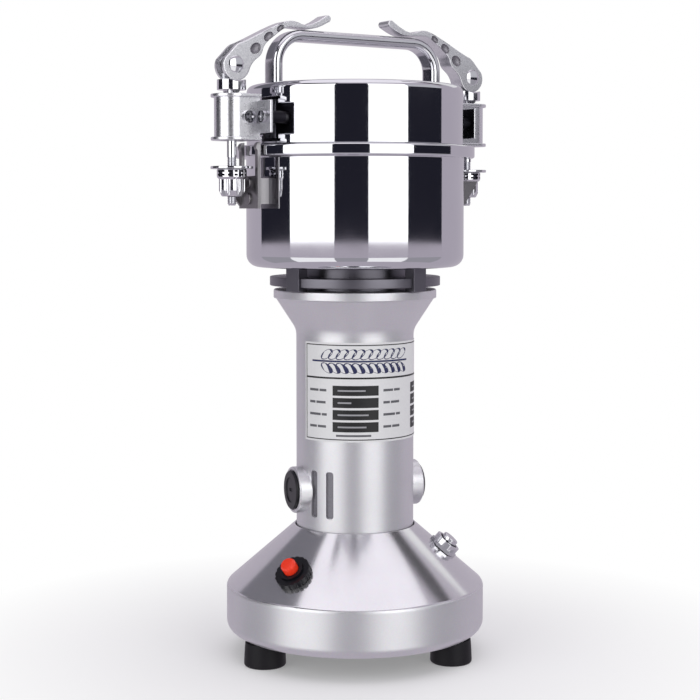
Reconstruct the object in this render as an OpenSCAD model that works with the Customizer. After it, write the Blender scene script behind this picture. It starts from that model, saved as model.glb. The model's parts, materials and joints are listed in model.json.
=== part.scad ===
// Small high-speed grain mill: a motor in a column on a round base, a grinding bowl
// with two blades on top, and a lift-off lid held by two over-centre lever clamps.
// Millimetres, +Z up, origin on the floor under the motor's axis.

/* [Base] */
// Outer radius of the base
base_r = 60; // [55:1:80]
// Sheet thickness of the base shell
base_wall = 2; // [1.5:0.25:2.5]
// Height of the upright wall of the base, from its lower edge to the shoulder
base_wall_h = 20.3; // [17:0.1:26]
// Radius of the shoulder between the wall and the cone
shoulder_r = 3; // [2.5:0.5:6]
// Radius of the lower edge
base_edge_r = 5; // [3:0.5:6]
// Slope of the cone above the shoulder, in degrees
cone_slope = 41; // [36:1:44]
// Free height of each rubber foot
foot_h = 10.9; // [8:0.1:16]
// Radius of each rubber foot at the floor
foot_r = 9.6; // [8:0.2:11]
// Distance of the feet inwards from the base wall
foot_inset = 11; // [10.5:0.5:13]

/* [Column] */
// Outer radius of the column, which is the motor housing
column_r = 27.3; // [26.5:0.1:33]
// Wall of the column
column_wall = 1.8; // [1.4:0.1:2.2]
// Height of the straight part of the column above the cone
column_h = 92.4; // [91:0.1:112]
// Height of the flare under the collar
flare_h = 12.5; // [10:0.5:18]
// Outer radius of the collar on top of the flare
collar_r = 37.8; // [36.5:0.1:42]
// Height of the collar
collar_h = 4.4; // [3:0.2:7]
// Outer diameter of each brush holder's boss
boss_d = 21.3; // [19:0.1:24]
// Width of each vent slot
vent_w = 3.7; // [2.5:0.1:5]
// Length of each vent slot
vent_h = 21.5; // [14:0.5:24]

/* [Bowl and lid] */
// Outer radius of the grinding bowl
bowl_r = 50.3; // [46:0.1:62]
// Sheet thickness of the bowl
bowl_wall = 1.2; // [1:0.1:2]
// Height of the bowl from its floor to the underside of its rim band
bowl_h = 49.8; // [48:0.1:70]
// How far the rim band stands out from the bowl's wall
rim_w = 4.9; // [4:0.1:6]
// Height of the rim band
rim_h = 5.4; // [4.5:0.1:7]
// Gap between the motor deck and the bowl's floor
post_h = 10.4; // [9:0.1:13]
// Height of the lid above the rim band
lid_h = 27.3; // [26.5:0.1:36]
// Sheet thickness of the lid
lid_wall = 1; // [0.8:0.1:1.5]
// Height of the handle above the lid
handle_h = 24; // [20:0.5:24]
// Width of the handle's flat bar
handle_w = 10; // [8:0.5:14]
// Thickness of the handle's flat bar
handle_t = 5; // [4:0.25:6]

/* [Blades] */
// Tip radius of the blades
blade_r = 44; // [36:0.5:44.5]
// Diameter of the motor's shaft
shaft_d = 8; // [7:0.25:9]

/* [Clamps] */
// Distance of each clamp rod outwards from the rim band
rod_out = 10.2; // [10:0.1:13]
// Diameter of each clamp rod
rod_d = 4.2; // [3.6:0.1:4.6]
// Largest radius of the lever's cam
cam_r = 7.2; // [6.8:0.1:7.6]
// How far the cam lets the rod down
cam_drop = 1.2; // [0.8:0.1:1.4]
// Opening angle of a lever, in degrees
lever_open = 115; // [90:5:115]
// Width of a lever
lever_w = 8.6; // [8:0.1:10]
// Radius of each clamp washer
washer_r = 9.4; // [8.8:0.1:9.6]

/* [Hidden] */
$fn = 64;

// Clearances: a sliding or turning fit, and a gap between faces that move past each other
fit = 0.08;
gap = 0.3;
eps = 0.01;

// Directions round the axis, in degrees from +X
latch_a = 11.8;
post_a = 24;
foot_a = 191.5;
reset_a = 213;
power_a = 332;
gland_a = 90;
vent_a = [205, 223];
label_from = 193;
label_to = 347;

// Base: the wall, the shoulder's arc and the cone are tangent to each other
base_z = foot_h;
shoulder_z = base_z + base_wall_h;
shoulder_end_r = base_r - shoulder_r + shoulder_r * sin(cone_slope);
shoulder_end_z = shoulder_z + shoulder_r * cos(cone_slope);
cone_gap = 0.6;
cone_top_r = column_r + cone_gap;
function cone_z(r) = shoulder_end_z + (shoulder_end_r - r) * tan(cone_slope);
cone_top_z = cone_z(cone_top_r);
foot_ring = base_r - foot_inset;
plate_t = 1.5;
plate_z = base_z;
plate_r = base_r - base_edge_r - gap;
edge_in = max(base_edge_r - base_wall, 0.4);
shoulder_in = max(shoulder_r - base_wall, 0.4);
lug_r = 5.2;
foot_screw_d = 4;
foot_recess_r = 4.2;
foot_recess_h = 4;
foot_head_h = 2.8;
button_r = (base_r + column_r) / 2 + 0.4;

// Controls on the cone
reset_d = 11;
reset_nut_d = 16.5;
reset_nut_h = 3;
reset_r = button_r + 3;
button_d = 7;
button_travel = 1.6;
button_out = 4.4;
button_dome = 0.3;
power_d = 9.6;
power_bezel_d = 12.5;
power_button_d = 7.6;
power_r = button_r - 3;
switch_size = [9, 14, 18];
gland_d = 10;
well = 3;
cone_sag = 0.8;

// Column
column_top_z = cone_top_z + column_h;
collar_z = column_top_z + flare_h;
deck_z = collar_z + collar_h;
column_in = column_r - column_wall;
brush_z = cone_top_z + 17;
vent_z = cone_top_z + 16.5;
vent_depth = 1;
seat_out = 6.7;
label_t = 0.25;
label_z = cone_top_z + 41.2;
label_h = 45;
cap_d = 17.8;
holder_tube_d = 12;
brush_w = 6;

// Motor, stacked along the shaft
bearing_d = 22;
bearing_h = 7;
bridge_z = cone_top_z - 9;
lower_bearing_z = bridge_z + 2;
upper_bearing_z = collar_z - 7.5;
core_z = brush_z + 21;
core_h = min(38, upper_bearing_z - 24 - core_z);
core_r = 17;
air_gap = 0.5;
fan_z = upper_bearing_z - 12;
fan_h = 8;
commutator_r = 10;
commutator_h = 14;
neck_r = 26;
disc_z = deck_z + 1.8;
disc_h = 4.1;
disc_r = collar_r + 1.7;
post_r = collar_r - 0.1;
post_w = 8;
post_t = 5.6;

// Bowl and lid
bowl_z = deck_z + post_h;
bowl_corner_r = 5.5;
floor_t = 2;
rim_z = bowl_z + bowl_h;
rim_top = rim_z + rim_h;
rim_r = bowl_r + rim_w;
lid_r = bowl_r - gap;
lid_z = rim_top + gap;
lid_top = lid_z + lid_h;
lid_edge_r = 3;
liner_t = 1.2;
liner_r = min(bowl_r - bowl_wall - 1.6, lid_r - lid_edge_r);
liner_z = rim_z - 2;
seal_r = bowl_r - bowl_wall - gap;
handle_leg_r = lid_r - 6.3;
handle_bend = 13;
handle_top = lid_top + handle_h;
handle_screw_d = 4;

// Blades on the shaft
blade_t = 1.6;
blade_w = 13;
hub_z = bowl_z + floor_t + 5;
spacer_h = 8;
upper_blade_z = hub_z + blade_t + spacer_h;
nut_h = 6;
shaft_top = upper_blade_z + blade_t + nut_h;
blade_stud_d = shaft_d - 2;
seal_h = 4;

// Clamps: heights hang from the lid's and the rim's, so that they move with them
rod_x = rim_r + rod_out;
plate_x = rim_r + gap;
sheet_t = 1.5;
bracket_z = lid_z + 1.3;
bracket_h = min(20.2, lid_h - 6);
bracket_top = bracket_z + bracket_h;
bracket_mid = bracket_z + bracket_h / 2;
bracket_r = 7.7;
flange_over = 1.5;
swing_z = bracket_top + 1.8;
pivot_z = bracket_top + 12.8;
saddle_top = pivot_z - 6.6;
saddle_r = 6.4;
cup_lift = 0.4;
swing = 7;
pin_d = 3.6;
eye_r = 4;
eye_w = rod_d - 0.4;
slot_w = rod_d + 2 * gap;
washer_h = 1.2;
washer_z = rim_z - 5.6;
nut_len = 12.1;
rod_low = washer_z - nut_len - 4;
wing_w = 18.7;
wing_screw_y = 13.6;
side_screw_x = rod_x - 4;
hook_low = rim_z - 23;
hook_h = 14.4;
hook_w = 8.2;
ear_w = 2.3;
ear_top = bracket_z - 0.7;
stud_zs = [hook_low + 11.5, hook_low + 4.3];

// ---------- Shapes used by several pieces ----------

function arc(x, y, r, from, to, n = 6) =
    [for (i = [0:n]) [x + r * cos(from + (to - from) * i / n), y + r * sin(from + (to - from) * i / n)]];

// A smooth curve along control points: it starts at the first and ends at the last
function curve(p, n = 4) = concat(
    [p[0]],
    [for (i = [1:len(p) - 2], t = [0:1 / n:1])
        let (a = (i == 1) ? p[0] : (p[i - 1] + p[i]) / 2,
             b = (i == len(p) - 2) ? p[len(p) - 1] : (p[i] + p[i + 1]) / 2)
        (1 - t) * (1 - t) * a + 2 * t * (1 - t) * p[i] + t * t * b]);

function reversed(p) = [for (i = [len(p) - 1:-1:0]) p[i]];

module turned(a) {
    rotate([0, 0, a])
        children();
}

// Stands a child on the cone at radius r, with its +Z along the cone's normal
module on_cone(a, r) {
    turned(a)
        translate([r, 0, cone_z(r)])
            rotate([0, cone_slope, 0])
                children();
}

// A bar along +X, from x0 to x1, at height z
module bar_x(d, x0, x1, z, y = 0) {
    translate([x0, y, z])
        rotate([0, 90, 0])
            cylinder(d = d, h = x1 - x0);
}

module tube(ro, ri, z, h) {
    translate([0, 0, z])
        difference() {
            cylinder(r = ro, h = h);
            translate([0, 0, -1])
                cylinder(r = ri, h = h + 2);
        }
}

// The two clamps are the same piece turned half way round
module left_side() { turned(latch_a + 180) children(); }
module right_side() { turned(latch_a) children(); }

// ---------- Base ----------

module foot_places() {
    for (i = [0:2])
        turned(foot_a + 120 * i)
            translate([foot_ring, 0, 0])
                children();
}

module rubber_feet() {
    color("#1f1c24")
        foot_places()
            difference() {
                cylinder(r1 = foot_r, r2 = foot_r - 0.6, h = plate_z);
                translate([0, 0, -1])
                    cylinder(r = foot_recess_r, h = foot_recess_h + 1);
                cylinder(d = foot_screw_d, h = plate_z + 1);
            }
}

module foot_screws() {
    color("#b8b8bc")
        foot_places() {
            translate([0, 0, foot_recess_h - foot_head_h])
                cylinder(r = foot_recess_r - 0.4, h = foot_head_h);
            translate([0, 0, foot_recess_h - eps])
                cylinder(d = foot_screw_d, h = plate_z + 8 - foot_recess_h);
        }
}

module bottom_plate() {
    color("#2b2a30")
        difference() {
            translate([0, 0, plate_z])
                cylinder(r = plate_r, h = plate_t);
            foot_places()
                cylinder(d = foot_screw_d, h = base_z + 20);
            for (i = [0:11])
                turned(30 * i)
                    translate([18, -1.25, base_z - 1])
                        cube([14, 2.5, 4]);
        }
}

// The outline of the base between the axis and its outer face, set in by a thickness
function base_outline(t) = concat(
    [[base_r - base_edge_r, base_z + t]],
    arc(base_r - base_edge_r, base_z + base_edge_r, max(base_edge_r - t, 0.5), -90, 0),
    arc(base_r - shoulder_r, shoulder_z, shoulder_r - t, 0, 90 - cone_slope),
    [[cone_top_r, cone_z(cone_top_r) - t / cos(cone_slope)]]);

module base_shell() {
    color("#c2c2c8")
        difference() {
            union() {
                difference() {
                    rotate_extrude($fn = 128)
                        polygon(concat([[cone_top_r, base_z]], base_outline(0)));
                    rotate_extrude($fn = 128)
                        polygon(concat([[0, base_z - 1], [base_r - base_edge_r, base_z - 1]],
                            arc(base_r - base_edge_r, base_z + base_edge_r, edge_in, -90, 0),
                            arc(base_r - shoulder_r, shoulder_z, shoulder_in, 0, 90 - cone_slope),
                            [[cone_top_r - 1, cone_z(cone_top_r - 1) - base_wall / cos(cone_slope)],
                             [0, cone_z(cone_top_r - 1) - base_wall / cos(cone_slope)]]));
                }
                intersection() {
                    foot_places()
                        translate([0, 0, plate_z + plate_t])
                            cylinder(r = lug_r, h = 40);
                    rotate_extrude($fn = 128)
                        polygon(concat([[0, base_z]], base_outline(base_wall / 2),
                            [[0, cone_z(cone_top_r) - base_wall]]));
                }
            }
            foot_places()
                translate([0, 0, base_z])
                    cylinder(d = foot_screw_d, h = 14);
            on_cone(reset_a, reset_r)
                translate([0, 0, -8])
                    cylinder(d = reset_d, h = 16);
            on_cone(power_a, power_r)
                translate([0, 0, -8])
                    cylinder(d = power_d, h = 16);
            on_cone(gland_a, button_r)
                translate([0, 0, -8])
                    cylinder(d = gland_d, h = 16);
        }
}

// Knurled ring nut on the threaded neck of the overload breaker
module reset_bezel() {
    color("#15151d")
        on_cone(reset_a, reset_r)
            difference() {
                cylinder(d = reset_nut_d, h = reset_nut_h);
                translate([0, 0, -1])
                    cylinder(d = reset_d, h = reset_nut_h + 2);
                for (i = [0:17])
                    turned(20 * i)
                        translate([reset_nut_d / 2 + 0.3, 0, -1])
                            cylinder(d = 1.4, h = reset_nut_h + 2, $fn = 16);
            }
}

module reset_breaker() {
    color("#232229")
        on_cone(reset_a, reset_r)
            difference() {
                union() {
                    translate([0, 0, -well - base_wall])
                        cylinder(d = reset_d - fit, h = reset_nut_h + 1.2 + well + base_wall);
                    translate([-8, -7, -20 - base_wall])
                        cube([16, 14, 20 - cone_sag]);
                }
                translate([0, 0, -well])
                    cylinder(d = button_d + 2 * gap, h = 20);
            }
}

module reset_button() {
    color("#f5371c")
        on_cone(reset_a, reset_r) {
            translate([0, 0, -well + button_travel + gap])
                cylinder(d = button_d, h = reset_nut_h + well + button_out - button_dome - button_travel);
            translate([0, 0, reset_nut_h + button_out - gap])
                rotate_extrude()
                    polygon([[0, 0], [button_d / 2, 0], [button_d / 2 - 0.5, 1.2], [0, 1.6]]);
        }
}

module power_bezel() {
    color("#d7d7dc")
        on_cone(power_a, power_r)
            difference() {
                union() {
                    cylinder(d = power_bezel_d + 1.6, h = 1.6, $fn = 6);
                    cylinder(d = power_bezel_d, h = 4.4);
                }
                translate([0, 0, -1])
                    cylinder(d = power_d, h = 8);
            }
}

module power_switch() {
    color("#2b2a30")
        on_cone(power_a, power_r)
            difference() {
                union() {
                    translate([0, 0, -well - base_wall])
                        cylinder(d = power_d - fit, h = well + base_wall + 4);
                    translate([-switch_size.x / 2, -switch_size.y / 2, -switch_size.z - base_wall])
                        cube([switch_size.x, switch_size.y, switch_size.z - cone_sag]);
                }
                translate([0, 0, -well])
                    cylinder(d = power_button_d + 2 * gap, h = 20);
            }
}

module power_button() {
    color("#e2e2e6")
        on_cone(power_a, power_r)
            translate([0, 0, -well + button_travel + gap])
                cylinder(d = power_button_d, h = 6.2 + well - button_travel);
}

module cord_gland() {
    color("#1f1c24")
        on_cone(gland_a, button_r)
            difference() {
                union() {
                    cylinder(d = 15, h = 3, $fn = 6);
                    translate([0, 0, 3 - eps])
                        cylinder(d1 = 12, d2 = 10, h = 4);
                    translate([0, 0, -8])
                        cylinder(d = gland_d - fit, h = 8 + eps);
                    translate([0, 0, -base_wall - cone_sag - 3])
                        cylinder(d = 14, h = 3, $fn = 6);
                }
                translate([0, 0, -9])
                    cylinder(d = 6.5, h = 20);
            }
}

// ---------- Column and motor ----------

module motor_housing() {
    seat = column_r + seat_out;
    under = base_wall / cos(cone_slope);
    color("#c9c7cc")
        difference() {
            rotate_extrude($fn = 128)
                polygon(concat(
                    [[column_in, bridge_z - 2], [seat, bridge_z - 2], [seat, cone_z(seat) - under],
                     [column_r, cone_z(column_r) - under], [column_r, column_top_z - 4]],
                    arc(column_r + 8, column_top_z - 4, 8, 180, 150, 3),
                    [[collar_r - 1.2, collar_z], [collar_r, collar_z + 0.4],
                     [collar_r, deck_z - 0.6], [collar_r - 0.6, deck_z], [neck_r, deck_z],
                     [neck_r, collar_z - 1], [column_in, column_top_z - 3]]));
            for (side = [0, 180], a = vent_a)
                turned(a + side) {
                    translate([column_r - vent_depth, -vent_w / 2, vent_z - vent_h / 2 + vent_w / 2])
                        cube([6, vent_w, vent_h - vent_w]);
                    for (end = [-1, 1])
                        bar_x(vent_w, column_r - vent_depth, column_r + 2, vent_z + end * (vent_h - vent_w) / 2);
                }
            for (side = [0, 180])
                turned(side)
                    bar_x(holder_tube_d, column_in - 2, column_r + 2, brush_z);
        }
}

module rating_label() {
    color("#e6e6ea")
        turned(label_from)
            rotate_extrude(angle = label_to - label_from, $fn = 128)
                translate([column_r, label_z])
                    square([label_t, label_h]);
}

// Boss with a flat seat on the round column, and the tube that guides the brush
module brush_holders() {
    boss_out = column_r + 3.8;
    color("#d4d4d8")
        for (side = [0, 180])
            turned(side)
                difference() {
                    union() {
                        difference() {
                            bar_x(boss_d, column_in, boss_out, brush_z);
                            cylinder(r = column_r, h = 200);
                        }
                        bar_x(holder_tube_d, commutator_r + 2, boss_out, brush_z);
                    }
                    translate([0, -brush_w / 2, brush_z - brush_w / 2])
                        cube([boss_out - 3, brush_w, brush_w]);
                    bar_x(8, boss_out - 4, boss_out + 1, brush_z);
                }
}

module brush_caps() {
    boss_out = column_r + 3.8;
    color("#15151d")
        for (side = [0, 180])
            turned(side)
                difference() {
                    union() {
                        bar_x(cap_d, boss_out, boss_out + 1.2, brush_z);
                        bar_x(8, boss_out - 3, boss_out + eps, brush_z);
                    }
                    translate([boss_out + 0.5, -1.1, brush_z - 5.5])
                        cube([2, 2.2, 11]);
                }
}

module carbon_brushes() {
    color("#2a2a2c")
        for (side = [0, 180])
            turned(side)
                translate([commutator_r + gap, -brush_w / 2 + fit, brush_z - brush_w / 2 + fit])
                    cube([12, brush_w - 2 * fit, brush_w - 2 * fit]);
}

module bearing(z) {
    tube(bearing_d / 2, shaft_d / 2 + fit, z, bearing_h);
}

module lower_bearing() { color("#a9a9ae") bearing(lower_bearing_z); }
module upper_bearing() { color("#a9a9ae") bearing(upper_bearing_z); }

module bearing_bridge() {
    color("#3a3940")
        difference() {
            translate([0, 0, bridge_z])
                cylinder(r = column_in, h = 10);
            translate([0, 0, lower_bearing_z])
                cylinder(d = bearing_d, h = 20);
            translate([0, 0, bridge_z - 1])
                cylinder(d = shaft_d + 4, h = 20);
            for (i = [0:5])
                turned(60 * i + 30)
                    translate([18, 0, bridge_z - 1])
                        cylinder(d = 7, h = 20);
        }
}

module stator_core() {
    color("#6d6f76")
        tube(column_in, core_r + air_gap + 3, core_z, core_h);
}

module field_windings() {
    color("#b4622d")
        difference() {
            translate([0, 0, core_z - 6])
                cylinder(r = core_r + air_gap + 3 - eps, h = core_h + 12);
            translate([0, 0, core_z - 7])
                cylinder(r = core_r + air_gap, h = core_h + 14);
        }
}

// Closes the column, carries the upper bearing and rises as the neck under the bowl
module end_shield() {
    color("#5f5d66")
        difference() {
            union() {
                translate([0, 0, collar_z - 1])
                    cylinder(r = neck_r, h = bowl_z - collar_z + 1);
                translate([0, 0, upper_bearing_z - 2])
                    cylinder(r = bearing_d / 2 + 3, h = collar_z - upper_bearing_z + 2);
            }
            translate([0, 0, upper_bearing_z - 3])
                cylinder(d = bearing_d, h = bearing_h + 3);
            translate([0, 0, upper_bearing_z])
                cylinder(d = shaft_d + 2, h = 40);
        }
}

module post_places() {
    for (i = [0:3])
        turned(post_a + 90 * i)
            translate([post_r, 0, 0])
                children();
}

module post_block(z, h, grow = 0) {
    translate([-post_t / 2 - grow, -post_w / 2 - grow, z])
        cube([post_t + 2 * grow, post_w + 2 * grow, h]);
}

module standoff_posts() {
    color("#6d6b73")
        post_places()
            difference() {
                post_block(deck_z, post_h);
                translate([0, 0, deck_z + 2])
                    cylinder(d = 3, h = 20);
            }
}

module baffle_disc() {
    color("#85838a")
        difference() {
            tube(disc_r, neck_r, disc_z, disc_h);
            post_places()
                post_block(deck_z, 20);
        }
}

module bowl_screws() {
    color("#c8c8cc")
        post_places() {
            translate([0, 0, deck_z + 3])
                cylinder(d = 3, h = bowl_z + floor_t - deck_z - 3 + eps);
            translate([0, 0, bowl_z + floor_t])
                cylinder(d = 5.6, h = 1.6);
        }
}

// ---------- Rotor ----------

module motor_shaft() {
    color("#c8c8cc") {
        translate([0, 0, lower_bearing_z - 4])
            cylinder(d = shaft_d, h = hub_z - lower_bearing_z + 4);
        translate([0, 0, hub_z - eps])
            cylinder(d = blade_stud_d, h = shaft_top - hub_z);
    }
}

module armature_core() {
    color("#74767d")
        difference() {
            tube(core_r, shaft_d / 2, core_z, core_h);
            for (i = [0:11])
                turned(30 * i)
                    translate([core_r - 3, -0.8, core_z - 1])
                        cube([5, 1.6, core_h + 2]);
        }
}

module armature_windings() {
    color("#b4622d")
        for (z = [core_z - 5, core_z + core_h])
            tube(core_r - 3.2, shaft_d / 2 + 1, z, 5);
}

module commutator() {
    color("#b87333")
        difference() {
            tube(commutator_r, shaft_d / 2, brush_z - commutator_h / 2, commutator_h);
            for (i = [0:23])
                turned(15 * i)
                    translate([commutator_r - 1, -0.25, brush_z - commutator_h])
                        cube([2, 0.5, 2 * commutator_h]);
        }
}

module cooling_fan() {
    color("#e8e6e0") {
        tube(column_in - 2.5, shaft_d / 2, fan_z, 1.6);
        tube(7, shaft_d / 2, fan_z + 1.5, fan_h - 1.5);
        for (i = [0:8])
            turned(40 * i)
                translate([6.5, -0.7, fan_z + 1.5])
                    cube([column_in - 9.5, 1.4, fan_h - 3]);
    }
}

// A flat two-armed blade with raked tips
module blade(z, tip_r, w) {
    translate([0, 0, z])
        linear_extrude(blade_t)
            difference() {
                polygon([[tip_r, -w * 0.2], [tip_r - 5, w / 2], [8, w / 2], [-tip_r, w * 0.2],
                         [-tip_r + 5, -w / 2], [-8, -w / 2]]);
                circle(d = blade_stud_d);
            }
}

module lower_blade() {
    color("#d0d0d4")
        turned(35)
            blade(hub_z, blade_r, blade_w);
}

module upper_blade() {
    color("#d0d0d4")
        turned(125)
            blade(upper_blade_z, blade_r - 3, blade_w);
}

module blade_spacer() {
    color("#b8b8bc")
        tube(6, blade_stud_d / 2, hub_z + blade_t, spacer_h);
}

module blade_nut() {
    color("#c8c8cc")
        translate([0, 0, upper_blade_z + blade_t])
            difference() {
                cylinder(d = 12, h = nut_h - 0.6, $fn = 6);
                translate([0, 0, -1])
                    cylinder(d = blade_stud_d, h = nut_h + 2);
            }
}

// ---------- Bowl ----------

module grinding_bowl() {
    inner_corner = bowl_corner_r - bowl_wall;
    corner_x = bowl_r - bowl_corner_r;
    corner_z = bowl_z + bowl_corner_r;
    color("#d6d6dc")
        difference() {
            rotate_extrude($fn = 128)
                polygon(concat(
                    [[12, bowl_z]],
                    arc(corner_x, corner_z, bowl_corner_r, -90, 0),
                    [[bowl_r, rim_z]],
                    [[rim_r - 1, rim_z], [rim_r, rim_z + 1], [rim_r, rim_top - 1], [rim_r - 1, rim_top],
                     [bowl_r - bowl_wall, rim_top]],
                    arc(corner_x, corner_z, inner_corner, 0, -90, 4),
                    [[corner_x, bowl_z + floor_t], [12, bowl_z + floor_t]]));
            post_places()
                cylinder(d = 3, h = 300);
        }
}

module shaft_seal() {
    color("#3c3a40")
        difference() {
            union() {
                translate([0, 0, bowl_z])
                    cylinder(r = 12, h = floor_t);
                translate([0, 0, bowl_z + floor_t - eps])
                    cylinder(r1 = 12, r2 = 9, h = seal_h - gap - eps);
            }
            translate([0, 0, bowl_z - 1])
                cylinder(r = shaft_d / 2 + fit, h = 20);
        }
}

// Steel hook on the bowl: a plate on a standoff block, two rounded ears and one gusset
module hook_bracket() {
    gusset_y = washer_r - 2.4;
    ear_r = 2.2;
    color("#85827f") {
        difference() {
            union() {
                translate([plate_x, -hook_w, hook_low])
                    cube([sheet_t, 2 * hook_w, hook_h]);
                translate([plate_x - 8, -6, hook_low + 2])
                    cube([8 + eps, 12, hook_h - 3]);
            }
            cylinder(r = bowl_r, h = 400, $fn = 128);
            for (z = stud_zs)
                bar_x(3, 0, plate_x + 5, z);
        }
        for (side = [-1, 1])
            translate([0, side * (hook_w - ear_w / 2) - ear_w / 2, 0]) {
                translate([plate_x, 0, hook_low + hook_h - eps])
                    cube([sheet_t, ear_w, ear_top - ear_r - hook_low - hook_h + eps]);
                translate([plate_x, ear_w, ear_top - ear_r])
                    rotate([90, 0, 0])
                        intersection() {
                            cylinder(r = ear_r, h = ear_w);
                            translate([0, -5, 0])
                                cube([5, 10, ear_w]);
                        }
            }
        translate([0, -gusset_y, 0])
            rotate([90, 0, 0])
                linear_extrude(1.4)
                    polygon([[plate_x + sheet_t - eps, hook_low + 1], [rod_x - 1.5, hook_low + 10],
                             [rod_x, hook_low + 13], [plate_x + sheet_t - eps, hook_low + 13]]);
    }
}

module hook_bracket_left() { left_side() hook_bracket(); }
module hook_bracket_right() { right_side() hook_bracket(); }

module hook_studs() {
    color("#b8b6b4")
        for (a = [0, 180])
            turned(latch_a + a)
                for (z = stud_zs)
                    difference() {
                        union() {
                            bar_x(3, bowl_r - 3, plate_x + sheet_t + eps, z);
                            bar_x(5, plate_x + sheet_t, plate_x + sheet_t + 0.9, z);
                        }
                        cylinder(r = bowl_r, h = 400, $fn = 128);
                    }
}

// ---------- Lid ----------

module lid_shell() {
    in_r = lid_r - lid_wall;
    color("#dcdce2")
        difference() {
            rotate_extrude($fn = 128)
                polygon(concat(
                    [[0, lid_top - lid_wall], [lid_r - lid_edge_r, lid_top - lid_wall]],
                    arc(lid_r - lid_edge_r, lid_top - lid_edge_r, lid_edge_r - lid_wall, 90, 0, 4),
                    [[in_r, lid_z], [lid_r, lid_z]],
                    arc(lid_r - lid_edge_r, lid_top - lid_edge_r, lid_edge_r, 0, 90),
                    [[0, lid_top]]));
            handle_screw_places()
                translate([0, 0, lid_top - 5])
                    cylinder(d = handle_screw_d, h = 10);
        }
}

// Inner pan of the lid, which closes the chamber and carries the seal
module lid_liner() {
    color("#cfcfd4")
        difference() {
            translate([0, 0, liner_z])
                cylinder(r = liner_r, h = lid_top - lid_wall - liner_z);
            translate([0, 0, liner_z + liner_t])
                cylinder(r = liner_r - liner_t, h = lid_h + 20);
            handle_screw_places()
                translate([0, 0, lid_top - 5])
                    cylinder(r = 4, h = 10);
        }
}

module lid_seal() {
    color("#b9b4a8")
        tube(seal_r, liner_r, liner_z + 1.2, rim_top - liner_z - 2);
}

module handle_screw_places() {
    for (side = [0, 180])
        turned(latch_a + side)
            translate([handle_leg_r, 0, 0])
                children();
}

module handle() {
    half = handle_t / 2;
    out_x = handle_leg_r + half;
    in_x = handle_leg_r - half;
    bend_x = handle_leg_r - handle_bend;
    bend_z = handle_top - half - handle_bend;
    out = concat([[out_x, lid_top]], arc(bend_x, bend_z, handle_bend + half, 0, 90));
    inn = concat([[in_x, lid_top]], arc(bend_x, bend_z, handle_bend - half, 0, 90));
    mirrored_out = [for (p = reversed(out)) [-p[0], p[1]]];
    mirrored_in = [for (p = reversed(inn)) [-p[0], p[1]]];
    color("#e2e2e6")
        difference() {
            turned(latch_a)
                translate([0, handle_w / 2, 0])
                    rotate([90, 0, 0])
                        linear_extrude(handle_w)
                            polygon(concat(out, mirrored_out, reversed(mirrored_in), reversed(inn)));
            handle_screw_places()
                translate([0, 0, lid_top - 1])
                    cylinder(d = 3, h = 8);
        }
}

module handle_screws() {
    color("#b8b8bc")
        handle_screw_places() {
            translate([0, 0, lid_top - lid_wall])
                cylinder(d = 3, h = 7);
            translate([0, 0, lid_top - lid_wall - 2])
                cylinder(d = 5.6, h = 2);
        }
}

// ---------- Clamps ----------

// Bent sheet round the rod, with slots for the rod to swing in, and wings on the lid
module clamp_bracket() {
    reach = (bracket_h + 2) * sin(swing) + 0.4;
    box_in = bracket_r - sheet_t;
    wing_x = plate_x + sheet_t;
    color("#b9b7bd")
        difference() {
            union() {
                bracket_slab(bracket_r, bracket_z, bracket_h);
                bracket_slab(bracket_r + flange_over, bracket_z, sheet_t);
                bracket_slab(bracket_r + flange_over, bracket_top - sheet_t, sheet_t);
                translate([plate_x, -wing_w, bracket_z + 3])
                    cube([sheet_t, 2 * wing_w, bracket_h - 6]);
                for (side = [-1, 1])
                    bar_x(8, lid_r - 14, plate_x + eps, bracket_mid, side * wing_screw_y);
            }
            translate([0, 0, bracket_z + sheet_t])
                linear_extrude(bracket_h - 2 * sheet_t) {
                    translate([rod_x, 0])
                        circle(r = box_in);
                    translate([plate_x - 1, -box_in])
                        square([rod_out, 2 * box_in]);
                }
            translate([0, 0, bracket_z - 1])
                linear_extrude(5) {
                    translate([rod_x - rod_d / 2 - gap, -rod_d / 2 - gap])
                        square([reach + rod_d / 2, rod_d + 2 * gap]);
                    translate([rod_x + reach - gap, 0])
                        circle(d = rod_d + 2 * gap);
                }
            translate([0, 0, bracket_top - 3])
                linear_extrude(5) {
                    translate([rod_x - rod_d / 2 - gap, -rod_d / 2 - gap])
                        square([rod_d / 2 + 1.5, rod_d + 2 * gap]);
                    translate([rod_x + 0.9, 0])
                        circle(d = rod_d + 2 * gap);
                }
            cylinder(r = lid_r, h = 400, $fn = 128);
            for (side = [-1, 1])
                bar_x(3, lid_r - 14, plate_x + 10, bracket_mid, side * wing_screw_y);
        }
}

module bracket_slab(r, z, h) {
    translate([0, 0, z])
        linear_extrude(h) {
            translate([rod_x, 0])
                circle(r = r);
            translate([plate_x, -r])
                square([rod_out - gap, 2 * r]);
        }
}

module clamp_bracket_left() { left_side() clamp_bracket(); }
module clamp_bracket_right() { right_side() clamp_bracket(); }

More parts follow.
